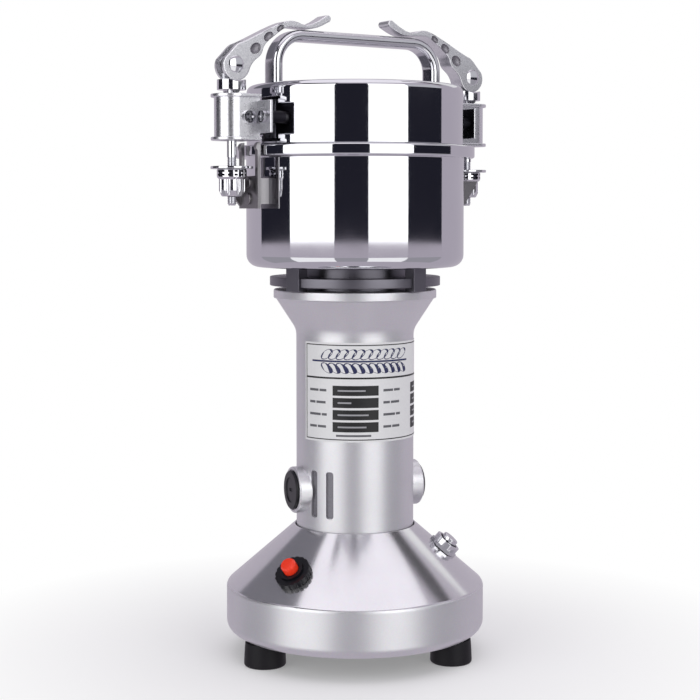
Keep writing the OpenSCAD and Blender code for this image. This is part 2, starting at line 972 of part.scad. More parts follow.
module bracket_screws() {
    out = plate_x + sheet_t;
    color("#c8c8cc")
        for (a = [0, 180])
            turned(latch_a + a)
                for (side = [-1, 1]) {
                    difference() {
                        translate([side_screw_x, side * (bracket_r + 1.4), bracket_mid])
                            rotate([90 * side, 0, 0])
                                cylinder(d = 5.6, h = 1.4);
                        for (size = [[4, 2, 0.8], [0.8, 2, 4]])
                            translate([side_screw_x, side * (bracket_r + 1.6), bracket_mid] - size / 2)
                                cube(size);
                    }
                    difference() {
                        union() {
                            bar_x(3, lid_r - 2, out + eps, bracket_mid, side * wing_screw_y);
                            bar_x(5.6, out, out + 1.5, bracket_mid, side * wing_screw_y);
                        }
                        cylinder(r = lid_r, h = 400, $fn = 128);
                        translate([out + 0.8, side * wing_screw_y - 2, bracket_mid - 0.4])
                            cube([2, 4, 0.8]);
                        translate([out + 0.8, side * wing_screw_y - 0.4, bracket_mid - 2])
                            cube([2, 0.8, 4]);
                    }
                }
}

// Cup on the bracket that the cam presses on; it rocks on the bar under it
module clamp_saddle() {
    color("#dcdce2")
        translate([rod_x, 0, 0])
            difference() {
                union() {
                    translate([0, 0, swing_z])
                        cylinder(r = saddle_r, h = saddle_top - swing_z);
                    translate([0, 5, swing_z])
                        rotate([90, 0, 0])
                            cylinder(r = 1.5, h = 10);
                }
                translate([0, 20, pivot_z + cup_lift])
                    rotate([90, 0, 0])
                        cylinder(r = cam_r + 2 * cup_lift, h = 40);
                translate([0, 0, swing_z - 5])
                    cylinder(d = rod_d + 2 * fit, h = 40);
            }
}

module clamp_saddle_left() { left_side() clamp_saddle(); }
module clamp_saddle_right() { right_side() clamp_saddle(); }

// Rod with an eye for the lever's pin at its top
module clamp_rod() {
    color("#cfcfd4")
        translate([rod_x, 0, 0])
            difference() {
                union() {
                    translate([0, 0, rod_low + 0.5])
                        cylinder(d = rod_d, h = pivot_z - eye_r + 1 - rod_low - 0.5);
                    translate([0, 0, rod_low])
                        cylinder(d1 = rod_d - 1, d2 = rod_d, h = 0.5 + eps);
                    translate([0, eye_w / 2, pivot_z])
                        rotate([90, 0, 0])
                            cylinder(r = eye_r, h = eye_w);
                }
                translate([0, 20, pivot_z])
                    rotate([90, 0, 0])
                        cylinder(d = pin_d + 2 * fit, h = 40);
            }
}

module clamp_rod_left() { left_side() clamp_rod(); }
module clamp_rod_right() { right_side() clamp_rod(); }

// The cam's radius shrinks evenly over the opening angle
function cam_at(a) = cam_r - cam_drop * max(0, a + 90) / lever_open;

// Lever outline about its pin: the cam, then the arm's back, its upturned tip, its belly
lever_outline = concat(
    [for (a = [-165:7.5:-90]) cam_r * [cos(a), sin(a)]],
    [for (i = [1:16]) let (a = -90 + lever_open * i / 16) cam_at(a) * [cos(a), sin(a)]],
    curve([[2, 6.1], [-0.4, 9], [-4, 10], [-23, 19.6], [-30, 21.2], [-38, 17.8], [-47.6, 24.4]]),
    curve([[-49, 24], [-50.2, 22.6], [-48.8, 21.3]], 3),
    curve([[-48, 21], [-42, 17.6], [-34, 17.7], [-26.4, 18.2], [-20.4, 14], [-14.2, 9.2], [-13.2, 4.6],
           [-8.6, 1.6], [-7.3, -1]]));

module lever() {
    color("#d7d7dc")
        translate([rod_x, 0, pivot_z])
            difference() {
                translate([0, lever_w / 2, 0])
                    rotate([90, 0, 0])
                        linear_extrude(lever_w)
                            polygon(lever_outline);
                translate([-eye_r - 1, -slot_w / 2, -20])
                    cube([40, slot_w, 40]);
                translate([0, 20, 0])
                    rotate([90, 0, 0])
                        cylinder(d = pin_d, h = 40);
            }
}

module lever_left() { left_side() lever(); }
module lever_right() { right_side() lever(); }

module lever_pin() {
    color("#e2e2e6")
        translate([rod_x, 0, pivot_z]) {
            translate([0, lever_w / 2, 0])
                rotate([90, 0, 0])
                    cylinder(d = pin_d, h = lever_w);
            for (side = [-1, 1])
                translate([0, side * lever_w / 2, 0])
                    rotate([-90 * side, 0, 0])
                        cylinder(d1 = 7.6, d2 = 6, h = 0.8);
        }
}

module lever_pin_left() { left_side() lever_pin(); }
module lever_pin_right() { right_side() lever_pin(); }

module clamp_washer() {
    color("#cfcfd4")
        translate([rod_x, 0, 0])
            tube(washer_r, rod_d / 2 + fit, washer_z, washer_h);
}

module clamp_washer_left() { left_side() clamp_washer(); }
module clamp_washer_right() { right_side() clamp_washer(); }

// Castellated nut: flared top collar, eight grooves down the side
module adjusting_nut() {
    nut_r = 5.7;
    color("#cfcfd4")
        translate([rod_x, 0, washer_z - nut_len])
            difference() {
                rotate_extrude()
                    polygon([[0, 0], [nut_r - 0.8, 0], [nut_r, 0.8], [nut_r, 7.6], [nut_r + 0.9, 8.6],
                             [nut_r + 0.9, nut_len - 0.8], [nut_r + 0.1, nut_len], [0, nut_len]]);
                translate([0, 0, -1])
                    cylinder(d = rod_d + 2 * fit, h = nut_len + 2);
                for (i = [0:7])
                    turned(45 * i)
                        translate([nut_r - 1.2, -1, -1])
                            cube([4, 2, 7.6]);
            }
}

module adjusting_nut_left() { left_side() adjusting_nut(); }
module adjusting_nut_right() { right_side() adjusting_nut(); }

rubber_feet();
foot_screws();
bottom_plate();
base_shell();
motor_housing();
rating_label();
brush_holders();
brush_caps();
carbon_brushes();
bearing_bridge();
lower_bearing();
upper_bearing();
stator_core();
field_windings();
end_shield();
baffle_disc();
standoff_posts();
bowl_screws();
shaft_seal();
grinding_bowl();
hook_bracket_left();
hook_bracket_right();
hook_studs();
reset_bezel();
reset_breaker();
power_bezel();
power_switch();
cord_gland();
reset_button();
power_button();
motor_shaft();
armature_core();
armature_windings();
commutator();
cooling_fan();
lower_blade();
blade_spacer();
upper_blade();
blade_nut();
lid_shell();
lid_liner();
lid_seal();
handle();
handle_screws();
clamp_bracket_left();
clamp_bracket_right();
bracket_screws();
clamp_saddle_left();
clamp_saddle_right();
clamp_rod_left();
clamp_rod_right();
lever_left();
lever_right();
lever_pin_left();
lever_pin_right();
clamp_washer_left();
clamp_washer_right();
adjusting_nut_left();
adjusting_nut_right();
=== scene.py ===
"""Looks of a small high-speed grain mill: motor column, grinding bowl, and a lid held by two lever clamps.

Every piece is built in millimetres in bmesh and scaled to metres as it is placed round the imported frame.
"""
import json
import math

import bmesh
import bpy
from mathutils import Matrix, Vector

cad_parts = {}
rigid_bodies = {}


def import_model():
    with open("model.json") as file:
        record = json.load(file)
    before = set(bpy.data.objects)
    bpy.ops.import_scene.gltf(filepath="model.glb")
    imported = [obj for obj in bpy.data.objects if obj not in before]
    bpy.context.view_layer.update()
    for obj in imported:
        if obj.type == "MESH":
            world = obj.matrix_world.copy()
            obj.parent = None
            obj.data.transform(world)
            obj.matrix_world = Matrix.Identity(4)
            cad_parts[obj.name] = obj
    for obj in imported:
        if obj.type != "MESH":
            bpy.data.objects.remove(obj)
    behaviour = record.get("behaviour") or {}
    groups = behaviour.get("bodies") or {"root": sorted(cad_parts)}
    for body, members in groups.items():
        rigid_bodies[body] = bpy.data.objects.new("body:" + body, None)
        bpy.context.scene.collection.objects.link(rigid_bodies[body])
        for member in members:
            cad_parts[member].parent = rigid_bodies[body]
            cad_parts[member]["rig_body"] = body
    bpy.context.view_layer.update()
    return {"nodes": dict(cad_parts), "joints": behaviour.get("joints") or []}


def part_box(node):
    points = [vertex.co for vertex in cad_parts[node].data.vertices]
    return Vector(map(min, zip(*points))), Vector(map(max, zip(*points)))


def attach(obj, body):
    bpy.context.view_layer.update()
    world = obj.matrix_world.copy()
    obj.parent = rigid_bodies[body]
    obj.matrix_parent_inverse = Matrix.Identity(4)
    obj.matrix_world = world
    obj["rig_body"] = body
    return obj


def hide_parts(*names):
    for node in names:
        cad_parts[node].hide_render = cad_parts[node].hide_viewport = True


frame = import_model()
joints = {joint["name"]: joint for joint in frame["joints"]}

# ---------- Camera ----------
# A short telephoto at the height of the bowl, a little left of the label's middle.

camera_turn = math.radians(-22)
camera_away = 0.7434
camera_aside = -0.0023
camera_height = 0.2075
camera_dip = math.radians(3.35)

camera_data = bpy.data.cameras.new("camera")
camera_data.lens = 82.3
camera_data.sensor_width = 36
camera_data.shift_y = -0.07
camera = bpy.data.objects.new("camera", camera_data)
camera.location = Matrix.Rotation(camera_turn, 3, "Z") @ Vector((camera_aside, -camera_away, camera_height))
camera.rotation_euler = (math.radians(90) - camera_dip, 0, camera_turn)
bpy.context.scene.collection.objects.link(camera)
bpy.context.scene.camera = camera
bpy.context.scene.view_settings.view_transform = "Standard"

# ---------- Studio: floor, white room, softboxes and dark flags ----------
# A pale floor that fades into the white room. Two softboxes stand left and right of the camera, with
# dark flags between them, so that the polished steel shows white windows and dark bands.


def srgb(code):
    """A hex colour as linear red, green, blue and alpha."""
    parts = [int(code[i:i + 2], 16) / 255 for i in (1, 3, 5)]
    return [c / 12.92 if c <= 0.04045 else ((c + 0.055) / 1.055) ** 2.4 for c in parts] + [1.0]


def add(tree, kind, settings, links):
    """Adds one node: settings fill its sockets or properties by name, links feed its sockets."""
    made = tree.nodes.new("ShaderNode" + kind)
    for key, value in settings.items():
        if hasattr(made, key):
            setattr(made, key, value)
        else:
            made.inputs[key].default_value = value
    for key, source in links.items():
        tree.links.new(source, made.inputs[key])
    return made


world = bpy.data.worlds.new("room")
bpy.context.scene.world = world
world.use_nodes = True
sky = world.node_tree
sky.nodes.clear()
seen_room = add(sky, "Background", {"Color": srgb("#ffffff"), "Strength": 1.0}, {})
lit_room = add(sky, "Background", {"Color": srgb("#c4bdc8"), "Strength": 0.95}, {})
ray = add(sky, "LightPath", {}, {})
room = add(sky, "MixShader", {}, {0: ray.outputs["Is Camera Ray"]})
sky.links.new(lit_room.outputs[0], room.inputs[1])
sky.links.new(seen_room.outputs[0], room.inputs[2])
add(sky, "OutputWorld", {}, {"Surface": room.outputs[0]})

floor_paint = bpy.data.materials.new("floor_paint")
floor_paint.use_nodes = True
tree = floor_paint.node_tree
tree.nodes.clear()
where = add(tree, "TexCoord", {}, {})
far = add(tree, "VectorMath", {"operation": "LENGTH"}, {0: where.outputs["Object"]})
fade = add(tree, "MapRange", {"From Min": 0.05, "From Max": 0.22, "To Min": 0.25},
           {"Value": far.outputs["Value"]})
paint = add(tree, "BsdfDiffuse", {"Color": srgb("#f4f4f5")}, {})
glow = add(tree, "Emission", {"Color": srgb("#ffffff"), "Strength": 1.0}, {})
both = add(tree, "MixShader", {}, {0: fade.outputs["Result"], 1: paint.outputs[0], 2: glow.outputs[0]})
add(tree, "OutputMaterial", {}, {"Surface": both.outputs[0]})

floor_bm = bmesh.new()
bmesh.ops.create_circle(floor_bm, cap_ends=True, segments=64, radius=4)
floor_mesh = bpy.data.meshes.new("floor")
floor_bm.to_mesh(floor_mesh)
floor_bm.free()
floor_mesh.materials.append(floor_paint)
floor = bpy.data.objects.new("floor", floor_mesh)
bpy.context.scene.collection.objects.link(floor)
floor.visible_glossy = False


def put_up(name, bm, colour, strength):
    """Makes a glowing cloth that only the mill's reflections show."""
    mesh = bpy.data.meshes.new(name)
    bm.to_mesh(mesh)
    bm.free()
    cloth = bpy.data.materials.new(name)
    cloth.use_nodes = True
    cloth.node_tree.nodes.clear()
    light = add(cloth.node_tree, "Emission", {"Color": srgb(colour), "Strength": strength}, {})
    add(cloth.node_tree, "OutputMaterial", {}, {"Surface": light.outputs[0]})
    mesh.materials.append(cloth)
    made = bpy.data.objects.new(name, mesh)
    made.visible_camera = False
    bpy.context.scene.collection.objects.link(made)
    return made


card_distance = 1.3
# Each card: from and to, in degrees to the right of the camera, its foot and top in metres, its light
cards = [
    ("flag_middle", -21, 13.5, 0.16, 1.2, "#24242e", 1.0),
    ("box_right", 13.5, 55.5, 0.16, 1.1, "#ffffff", 2.1),
    ("flag_right", 55.5, 101, 0.16, 0.375, "#24242e", 1.0),
    ("box_over_right", 55.5, 101, 0.375, 1.1, "#d8d8de", 0.9),
    ("flag_over_left", -70, -21, 1.1, 1.7, "#24242e", 1.0),
    ("box_left", -70, -21, 0.16, 1.1, "#ffffff", 2.1),
    ("flag_left", -114, -70, 0.16, 1.0, "#24242e", 1.0),
    ("low_middle", -21, 13.5, -0.8, 0.1, "#a9a7ae", 1.0),
    ("low_right", 13.5, 55.5, -0.8, 0.1, "#ffffff", 1.2),
    ("low_flag_right", 55.5, 101, -0.8, 0.1, "#a9a7ae", 1.0),
    ("low_left", -70, -21, -0.8, 0.1, "#ffffff", 1.2),
    ("low_flag_left", -114, -70, -0.8, 0.1, "#a9a7ae", 1.0),
]
for name, start, end, foot, top, colour, strength in cards:
    bm = bmesh.new()
    first = Matrix.Rotation(camera_turn + math.radians(start), 3, "Z") @ Vector((0, -card_distance, 0))
    ends = [bm.verts.new(first + Vector((0, 0, z))) for z in (foot, top)]
    edge = bm.edges.new(ends)
    bmesh.ops.spin(bm, geom=ends + [edge], axis=(0, 0, 1), cent=(0, 0, 0),
                   angle=math.radians(end - start), steps=12)
    card = put_up(name, bm, colour, strength)

# Panels over the mill: their way from it (right, away from the camera and up), width, length, and light.
# The narrow one draws the dark line down the right of the cone, the wide one shades its left side.
panel_distance = 1.2
cone_height = 0.045
panels = [
    ("panel_narrow", (0.513, 0.276, 0.813), 0.17, 0.6, "#101014", 1.0),
    ("panel_right", (0.447, 0.625, 0.639), 0.5, 0.5, "#ffffff", 0.95),
    ("panel_wide", (-0.64, 0.35, 0.68), 0.8, 0.9, "#77757e", 0.9),
]
for name, way, width, length, colour, strength in panels:
    way = Matrix.Rotation(camera_turn, 3, "Z") @ Vector(way)
    bm = bmesh.new()
    bmesh.ops.create_grid(bm, x_segments=1, y_segments=1, size=0.5)
    bmesh.ops.scale(bm, vec=(width, length, 1), verts=bm.verts)
    bmesh.ops.transform(bm, verts=bm.verts, matrix=way.to_track_quat("Z", "Y").to_matrix().to_4x4())
    bmesh.ops.translate(bm, verts=bm.verts, vec=way * panel_distance + Vector((0, 0, cone_height)))
    panel = put_up(name, bm, colour, strength)

top_light = bpy.data.lights.new("top_light", "AREA")
top_light.shape = "DISK"
top_light.size = 2.4
top_light.energy = 9
overhead = bpy.data.objects.new("overhead", top_light)
overhead.location = (0, 0, 1.7)
overhead.visible_camera = False
bpy.context.scene.collection.objects.link(overhead)

# ---------- Base shell ----------
# The round foot of the mill: one sheet of aluminium, spun to a cone with a crisp shoulder and a
# rolled lower edge, then sprayed with fine silver lacquer. It carries the switch and the breaker.


def span(node):
    """A CAD node's lowest and highest corner, in millimetres."""
    low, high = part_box(node)
    return low * 1000, high * 1000


def rounded(corners, steps=5):
    """A closed outline through corners (x, y, radius), each rounded by an arc of that radius."""
    outline = []
    for before, (x, y, radius), after in zip(corners[-1:] + corners[:-1], corners, corners[1:] + corners[:1]):
        here = Vector((x, y))
        if not radius:
            outline.append(here)
            continue
        back = (Vector(before[:2]) - here).normalized()
        ahead = (Vector(after[:2]) - here).normalized()
        half = back.angle(ahead) / 2
        centre = here + (back + ahead).normalized() * radius / math.sin(half)
        first = here + back * radius / math.tan(half) - centre
        last = here + ahead * radius / math.tan(half) - centre
        outline += [centre + first.slerp(last, i / steps).normalized() * radius for i in range(steps + 1)]
    return outline


def lathe(outline, steps=128, closed=True):
    """Spins an outline of (radius, height) round the Z axis; an open one starts and ends on it."""
    bm = bmesh.new()
    points = [bm.verts.new((r, 0, z)) for r, z in outline]
    pairs = list(zip(points, points[1:]))
    if closed:
        pairs.append((points[-1], points[0]))
    edges = [bm.edges.new(pair) for pair in pairs]
    bmesh.ops.spin(bm, geom=points + edges, axis=(0, 0, 1), cent=(0, 0, 0), angle=math.tau, steps=steps,
                   use_merge=True)
    bmesh.ops.remove_doubles(bm, verts=bm.verts, dist=1e-4)
    bmesh.ops.recalc_face_normals(bm, faces=bm.faces)
    return bm


def piece(bm, name, skin, body, slot, *nodes, place=None, crease=32, inner=None):
    """Puts a bmesh in millimetres into the scene in metres, on its body, in place of some CAD nodes.

    Its faces of material index 1 take the inner material.
    """
    bmesh.ops.transform(bm, matrix=Matrix.Scale(0.001, 4) @ (place or Matrix()), verts=bm.verts)
    mesh = bpy.data.meshes.new(name)
    bm.to_mesh(mesh)
    bm.free()
    mesh.materials.append(skin)
    if inner:
        mesh.materials.append(inner)
    mesh.shade_smooth()
    mesh.set_sharp_from_angle(angle=math.radians(crease))
    made = bpy.data.objects.new(name, mesh)
    bpy.context.scene.collection.objects.link(made)
    flats = made.modifiers.new("flats", "WEIGHTED_NORMAL")
    flats.keep_sharp = True
    flats.weight = 90
    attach(made, body)
    if nodes:
        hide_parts(*nodes)
    return made


def new_material(name, **settings):
    """A material with its main shader only. Gives it, its tree, the shader, and Object coordinates in mm."""
    made = bpy.data.materials.new(name)
    made.use_nodes = True
    tree = made.node_tree
    tree.nodes.clear()
    sockets = {key.replace("_", " "): value for key, value in settings.items()}
    shader = add(tree, "BsdfPrincipled", sockets, {})
    add(tree, "OutputMaterial", {}, {"Surface": shader.outputs[0]})
    coords = add(tree, "TexCoord", {}, {})
    mm = add(tree, "Mapping", {"Scale": (1000, 1000, 1000)}, {"Vector": coords.outputs["Object"]})
    return made, tree, shader, mm.outputs["Vector"]


def silver(name, low, high):
    """Silver lacquer on aluminium. Its metal flakes, about 0.3 mm across, are drawn twice that size."""
    made, tree, shader, mm = new_material(name, Metallic=0.92)
    flakes = add(tree, "TexVoronoi", {"Scale": 1.7}, {"Vector": mm})
    cloud = add(tree, "TexNoise", {"Scale": 0.035, "Detail": 3.0}, {"Vector": mm})
    tone = add(tree, "MixRGB", {"Color1": srgb("#d9d8dc"), "Color2": srgb("#e8e8eb")},
               {"Fac": cloud.outputs["Fac"]})
    speck = add(tree, "MixRGB", {"blend_type": "MULTIPLY", "Fac": 0.04},
                {"Color1": tone.outputs[0], "Color2": flakes.outputs["Color"]})
    tree.links.new(speck.outputs[0], shader.inputs["Base Color"])
    rough = add(tree, "MapRange", {"To Min": low, "To Max": high}, {"Value": flakes.outputs["Distance"]})
    tree.links.new(rough.outputs["Result"], shader.inputs["Roughness"])
    dents = add(tree, "Bump", {"Strength": 0.02, "Distance": 0.00003}, {"Height": flakes.outputs["Distance"]})
    tree.links.new(dents.outputs[0], shader.inputs["Normal"])
    return made


def solid(bm, tool, how="DIFFERENCE"):
    """Cuts a tool out of a bmesh by an exact boolean, or joins it on. Both are bmeshes; the tool is freed."""
    pair = []
    for part in (bm, tool):
        mesh = bpy.data.meshes.new("cut")
        part.to_mesh(mesh)
        pair.append(bpy.data.objects.new("cut", mesh))
        bpy.context.scene.collection.objects.link(pair[-1])
    step = pair[0].modifiers.new("cut", "BOOLEAN")
    step.object = pair[1]
    step.solver = "EXACT"
    step.operation = how
    bpy.context.view_layer.update()
    result = pair[0].evaluated_get(bpy.context.evaluated_depsgraph_get())
    bm.clear()
    bm.from_mesh(result.to_mesh())
    result.to_mesh_clear()
    for thing in pair:
        mesh = thing.data
        bpy.data.objects.remove(thing)
        bpy.data.meshes.remove(mesh)
    tool.free()
    return bm


def bar(radius, length, place, segments=48):
    """A round bar along local Z from 0 to its length, put in place."""
    bm = bmesh.new()
    bmesh.ops.create_cone(bm, cap_ends=True, segments=segments, radius1=radius, radius2=radius, depth=length)
    bmesh.ops.translate(bm, verts=bm.verts, vec=(0, 0, length / 2))
    bmesh.ops.transform(bm, matrix=place, verts=bm.verts)
    return bm


# Satin lacquer on the upright walls; the cone is burnished before it is sprayed, so it mirrors more
lacquer = silver("silver_lacquer", 0.34, 0.42)
burnished = silver("burnished_silver", 0.13, 0.16)

low, high = span("base_shell")
base_r = min(high.x, high.y)
base_z = low.z
base_wall = 2
base_edge_r = 5
shoulder_r = 3
up_the_cone = -Vector(joints["reset_press"]["axis"])
slope = math.acos(up_the_cone.z)
column_r = 27.3
cone_r = column_r + 0.6
shoulder_z = high.z - (base_r - cone_r) * math.tan(slope)
under = base_wall / math.cos(slope)
inner_shoulder_z = high.z - under - (base_r - base_wall - cone_r) * math.tan(slope)
shell = lathe(rounded([
    (base_r - base_edge_r, base_z, 0),
    (base_r, base_z, base_edge_r),
    (base_r, shoulder_z, shoulder_r),
    (cone_r, high.z, 0.3),
    (cone_r, high.z - under, 0),
    (base_r - base_wall, inner_shoulder_z, 1),
    (base_r - base_wall, base_z + base_wall, base_edge_r - base_wall),
    (base_r - base_edge_r, base_z + base_wall, 0),
], 8), 192)
# Holes for the breaker, the power button and the gland, square to the cone
hole_radii = {"reset_button": 5.5, "power_button": 4.8, "cord_gland": 5}
for node, hole_r in hole_radii.items():
    low, high = span(node)
    middle = (low + high) / 2
    square_on = Matrix.Rotation(math.atan2(middle.y, middle.x), 4, "Z") @ Matrix.Rotation(slope, 4, "Y")
    solid(shell, bar(hole_r, 40, Matrix.Translation(middle) @ square_on @ Matrix.Translation((0, 0, -20))))
for face in shell.faces:
    if face.normal.z > 0.5 and face.calc_center_median().z > shoulder_z:
        face.material_index = 1
piece(shell, "base_shell_skin", lacquer, "root", "satin_aluminium", "base_shell", inner=burnished)

# ---------- Feet ----------
# Three moulded rubber feet with a rounded sole, each held by a screw from below.

rubber, tree, shader, mm = new_material("moulded_rubber", Roughness=0.55, Specular_IOR_Level=0.3)
grain = add(tree, "TexNoise", {"Scale": 2.2, "Detail": 4.0}, {"Vector": mm})
tone = add(tree, "MixRGB", {"Color1": srgb("#0d0c10"), "Color2": srgb("#17151b")},
           {"Fac": grain.outputs["Fac"]})
tree.links.new(tone.outputs[0], shader.inputs["Base Color"])
bump = add(tree, "Bump", {"Strength": 0.15, "Distance": 0.0001}, {"Height": grain.outputs["Fac"]})
tree.links.new(bump.outputs[0], shader.inputs["Normal"])

foot_r = 9.6
foot_top_r = 9.0
foot_ring = 49.0
foot_turn = math.radians(191.5)
recess_r = 4.2
recess_h = 4.0
feet = bmesh.new()
for i in range(3):
    one = lathe(rounded([
        (recess_r, 0, 0.3), (foot_r, 0, 1.2), (foot_r - 0.25, base_z * 0.55, 0.5), (foot_top_r, base_z, 0.4),
        (recess_r, base_z, 0), (recess_r, recess_h, 0),
    ], 4), 64)
    bmesh.ops.transform(one, verts=one.verts, matrix=Matrix.Rotation(foot_turn + i * math.tau / 3, 4, "Z")
                        @ Matrix.Translation((foot_ring, 0, 0)))
    part = bpy.data.meshes.new("foot")
    one.to_mesh(part)
    one.free()
    feet.from_mesh(part)
    bpy.data.meshes.remove(part)
piece(feet, "feet", rubber, "root", "rubber", "rubber_feet")

# ---------- Motor column ----------
# The motor's housing, a turned aluminium casting in the same silver lacquer. It flares under the collar
# and has two pairs of milled vent pockets beside the brushes.


def block(size, place, edge=0.0, steps=2):
    """A block centred on its place, its edges rounded by a radius."""
    bm = bmesh.new()
    bmesh.ops.create_cube(bm, size=1)
    bmesh.ops.scale(bm, vec=size, verts=bm.verts)
    if edge:
        bmesh.ops.bevel(bm, geom=bm.edges, offset=edge, affect="EDGES", segments=steps, profile=0.5,
                        material=-1, clamp_overlap=True)
    bmesh.ops.transform(bm, matrix=place, verts=bm.verts)
    return bm


def join(bm, other):
    """Adds another bmesh's pieces to this one as they are; the other is freed."""
    mesh = bpy.data.meshes.new("part")
    other.to_mesh(mesh)
    other.free()
    bm.from_mesh(mesh)
    bpy.data.meshes.remove(mesh)
    return bm


low, high = span("motor_housing")
collar_r = high.x
deck_z = high.z
collar_z = deck_z - 4.4
column_top = collar_z - 12.5
column_wall = 1.8
cone_top = span("base_shell")[1].z
neck_r = 26
seat_z = low.z
column = lathe(rounded([
    (column_r - column_wall, seat_z, 0),
    (column_r, seat_z, 0),
    (column_r, column_top - 1.8, 9),
    (collar_r - 1.2, collar_z, 0.4),
    (collar_r, collar_z + 0.5, 0.4),
    (collar_r, deck_z, 0.7),
    (neck_r, deck_z, 0),
    (neck_r, collar_z - 1, 0),
    (column_r - column_wall, column_top - 3, 0),
], 8), 192)
vent_w = 3.7
vent_h = 21.5
vent_z = cone_top + 16.5
vent_depth = 1.3
vent_turns = (205, 223, 25, 43)


def pulled_up(bm, face, way):
    """Gives a face thickness: pulls it along a way, and turns all faces outward."""
    pulled = bmesh.ops.extrude_face_region(bm, geom=[face])
    far_side = [v for v in pulled["geom"] if isinstance(v, bmesh.types.BMVert)]
    bmesh.ops.translate(bm, vec=way, verts=far_side)
    bmesh.ops.recalc_face_normals(bm, faces=bm.faces)


def upright_plate(width, height, corner, steps, reach, thick, turn):
    """A plate with round corners that stands at the vents' height, square to the column's radius."""
    outline = rounded([(-width / 2, -height / 2, corner), (width / 2, -height / 2, corner),
                       (width / 2, height / 2, corner), (-width / 2, height / 2, corner)], steps)
    bm = bmesh.new()
    face = bm.faces.new([bm.verts.new((reach, y, vent_z + z)) for y, z in outline])
    pulled_up(bm, face, (thick, 0, 0))
    bmesh.ops.rotate(bm, verts=bm.verts, matrix=Matrix.Rotation(math.radians(turn), 3, "Z"))
    return bm


for turn in vent_turns:
    solid(column, upright_plate(vent_w, vent_h, vent_w / 2 - 0.6, 6, column_r - vent_depth, 4, turn))
piece(column, "column", lacquer, "root", "satin_aluminium", "motor_housing")

# Painted shade in the vent pockets: grey plates on their floors, darker than the lacquer round them
vent_shade, tree, shader, mm = new_material("vent_painted_shade", Metallic=0.8, Roughness=0.5)
vent_shade_noise = add(tree, "TexNoise", {"Scale": 1.4, "Detail": 3.0}, {"Vector": mm})
tone = add(tree, "MixRGB", {"Color1": srgb("#77757c"), "Color2": srgb("#8e8c93")},
           {"Fac": vent_shade_noise.outputs["Fac"]})
tree.links.new(tone.outputs[0], shader.inputs["Base Color"])
floors = bmesh.new()
for turn in vent_turns:
    join(floors, upright_plate(vent_w - 0.2, vent_h - 0.2, 1.2, 5, column_r - vent_depth + 0.02, 0.15, turn))
piece(floors, "vent_shade_plates", vent_shade, "root", "satin_aluminium")

# ---------- Rating label ----------
# A printed plastic sheet wrapped round the front of the column: black rules and boxes, and a navy ear of
# grain as a generic header. Short bars stand where a maker would print words.

sheet, tree, shader, mm = new_material("printed_film", Roughness=0.34, Coat_Weight=0.25)
fibre = add(tree, "TexNoise", {"Scale": 1.1, "Detail": 5.0}, {"Vector": mm})
tone = add(tree, "MixRGB", {"Color1": srgb("#d3d3d6"), "Color2": srgb("#dededf")},
           {"Fac": fibre.outputs["Fac"]})
tree.links.new(tone.outputs[0], shader.inputs["Base Color"])


def ink(name, code):
    """Screen ink on the film: matte, with the slight mottle of a coarse print screen."""
    made, tree, shader, mm = new_material(name, Roughness=0.48)
    screen = add(tree, "TexNoise", {"Scale": 3.0, "Detail": 2.0}, {"Vector": mm})
    dark, pale = srgb(code), [c * 1.25 + 0.004 for c in srgb(code)[:3]] + [1]
    tone = add(tree, "MixRGB", {"Color1": dark, "Color2": pale}, {"Fac": screen.outputs["Fac"]})
    tree.links.new(tone.outputs[0], shader.inputs["Base Color"])
    return made


black_ink = ink("black_ink", "#0e0e10")
navy_ink = ink("navy_ink", "#181c4a")
grey_ink = ink("grey_ink", "#55555a")
white_ink = ink("white_ink", "#8f8f94")

label_from = math.radians(193)
label_low, label_high = span("rating_label")
label_h = label_high.z - label_low.z
label_len = math.radians(347 - 193) * column_r
label_t = 0.25
bend_step = 1.2


def stamp(bm, left, right, top, bottom, raise_from, raise_to):
    """A flat bar of the print: left and right along the label, top and bottom down from its upper edge."""
    one = bmesh.new()
    bmesh.ops.create_cube(one, size=1)
    bmesh.ops.scale(one, vec=(right - left, raise_to - raise_from, bottom - top), verts=one.verts)
    middle = ((left + right) / 2, (raise_from + raise_to) / 2, -(top + bottom) / 2)
    bmesh.ops.translate(one, vec=middle, verts=one.verts)
    for i in range(1, int((right - left) / bend_step) + 1):
        everything = one.verts[:] + one.edges[:] + one.faces[:]
        bmesh.ops.bisect_plane(one, geom=everything, plane_co=(left + bend_step * i, 0, 0),
                               plane_no=(1, 0, 0))
    join(bm, one)


def wrap(bm, name, skin, *nodes):
    """Bends flat label work round the column and fixes it there."""
    for v in bm.verts:
        turn = label_from + v.co.x / column_r
        reach = column_r + v.co.y
        v.co = (reach * math.cos(turn), reach * math.sin(turn), label_high.z + v.co.z)
    bmesh.ops.recalc_face_normals(bm, faces=bm.faces)
    piece(bm, name, skin, "root", "label_sheet", *nodes)


film = bmesh.new()
stamp(film, 0, label_len, 0, label_h, 0.02, label_t)
wrap(film, "label_film", sheet, "rating_label")

print_low = label_t - 0.02
print_high = label_t + 0.03
rule = 0.45
margin = 0.9
divider = 15.6
black = bmesh.new()
stamp(black, margin, label_len - margin, margin, margin + rule, print_low, print_high)
stamp(black, margin, label_len - margin, label_h - margin - rule, label_h - margin, print_low, print_high)
stamp(black, margin, margin + rule, margin + rule, label_h - margin - rule, print_low, print_high)
stamp(black, label_len - margin - rule, label_len - margin, margin + rule, label_h - margin - rule, print_low,
      print_high)
stamp(black, margin + rule, label_len - margin - rule, divider, divider + 0.8, print_low, print_high)
box_left = (15.9, 58.2)
box_w = (21.1, 12.4)
row_top = 19.4
row_step = 5.5
row_h = 4.5
for row in range(4):
    for left, width in zip(box_left, box_w):
        top = row_top + row * row_step
        stamp(black, left, left + width, top, top + row_h, print_low, print_high)
wrap(black, "label_rules", black_ink)

captions = bmesh.new()
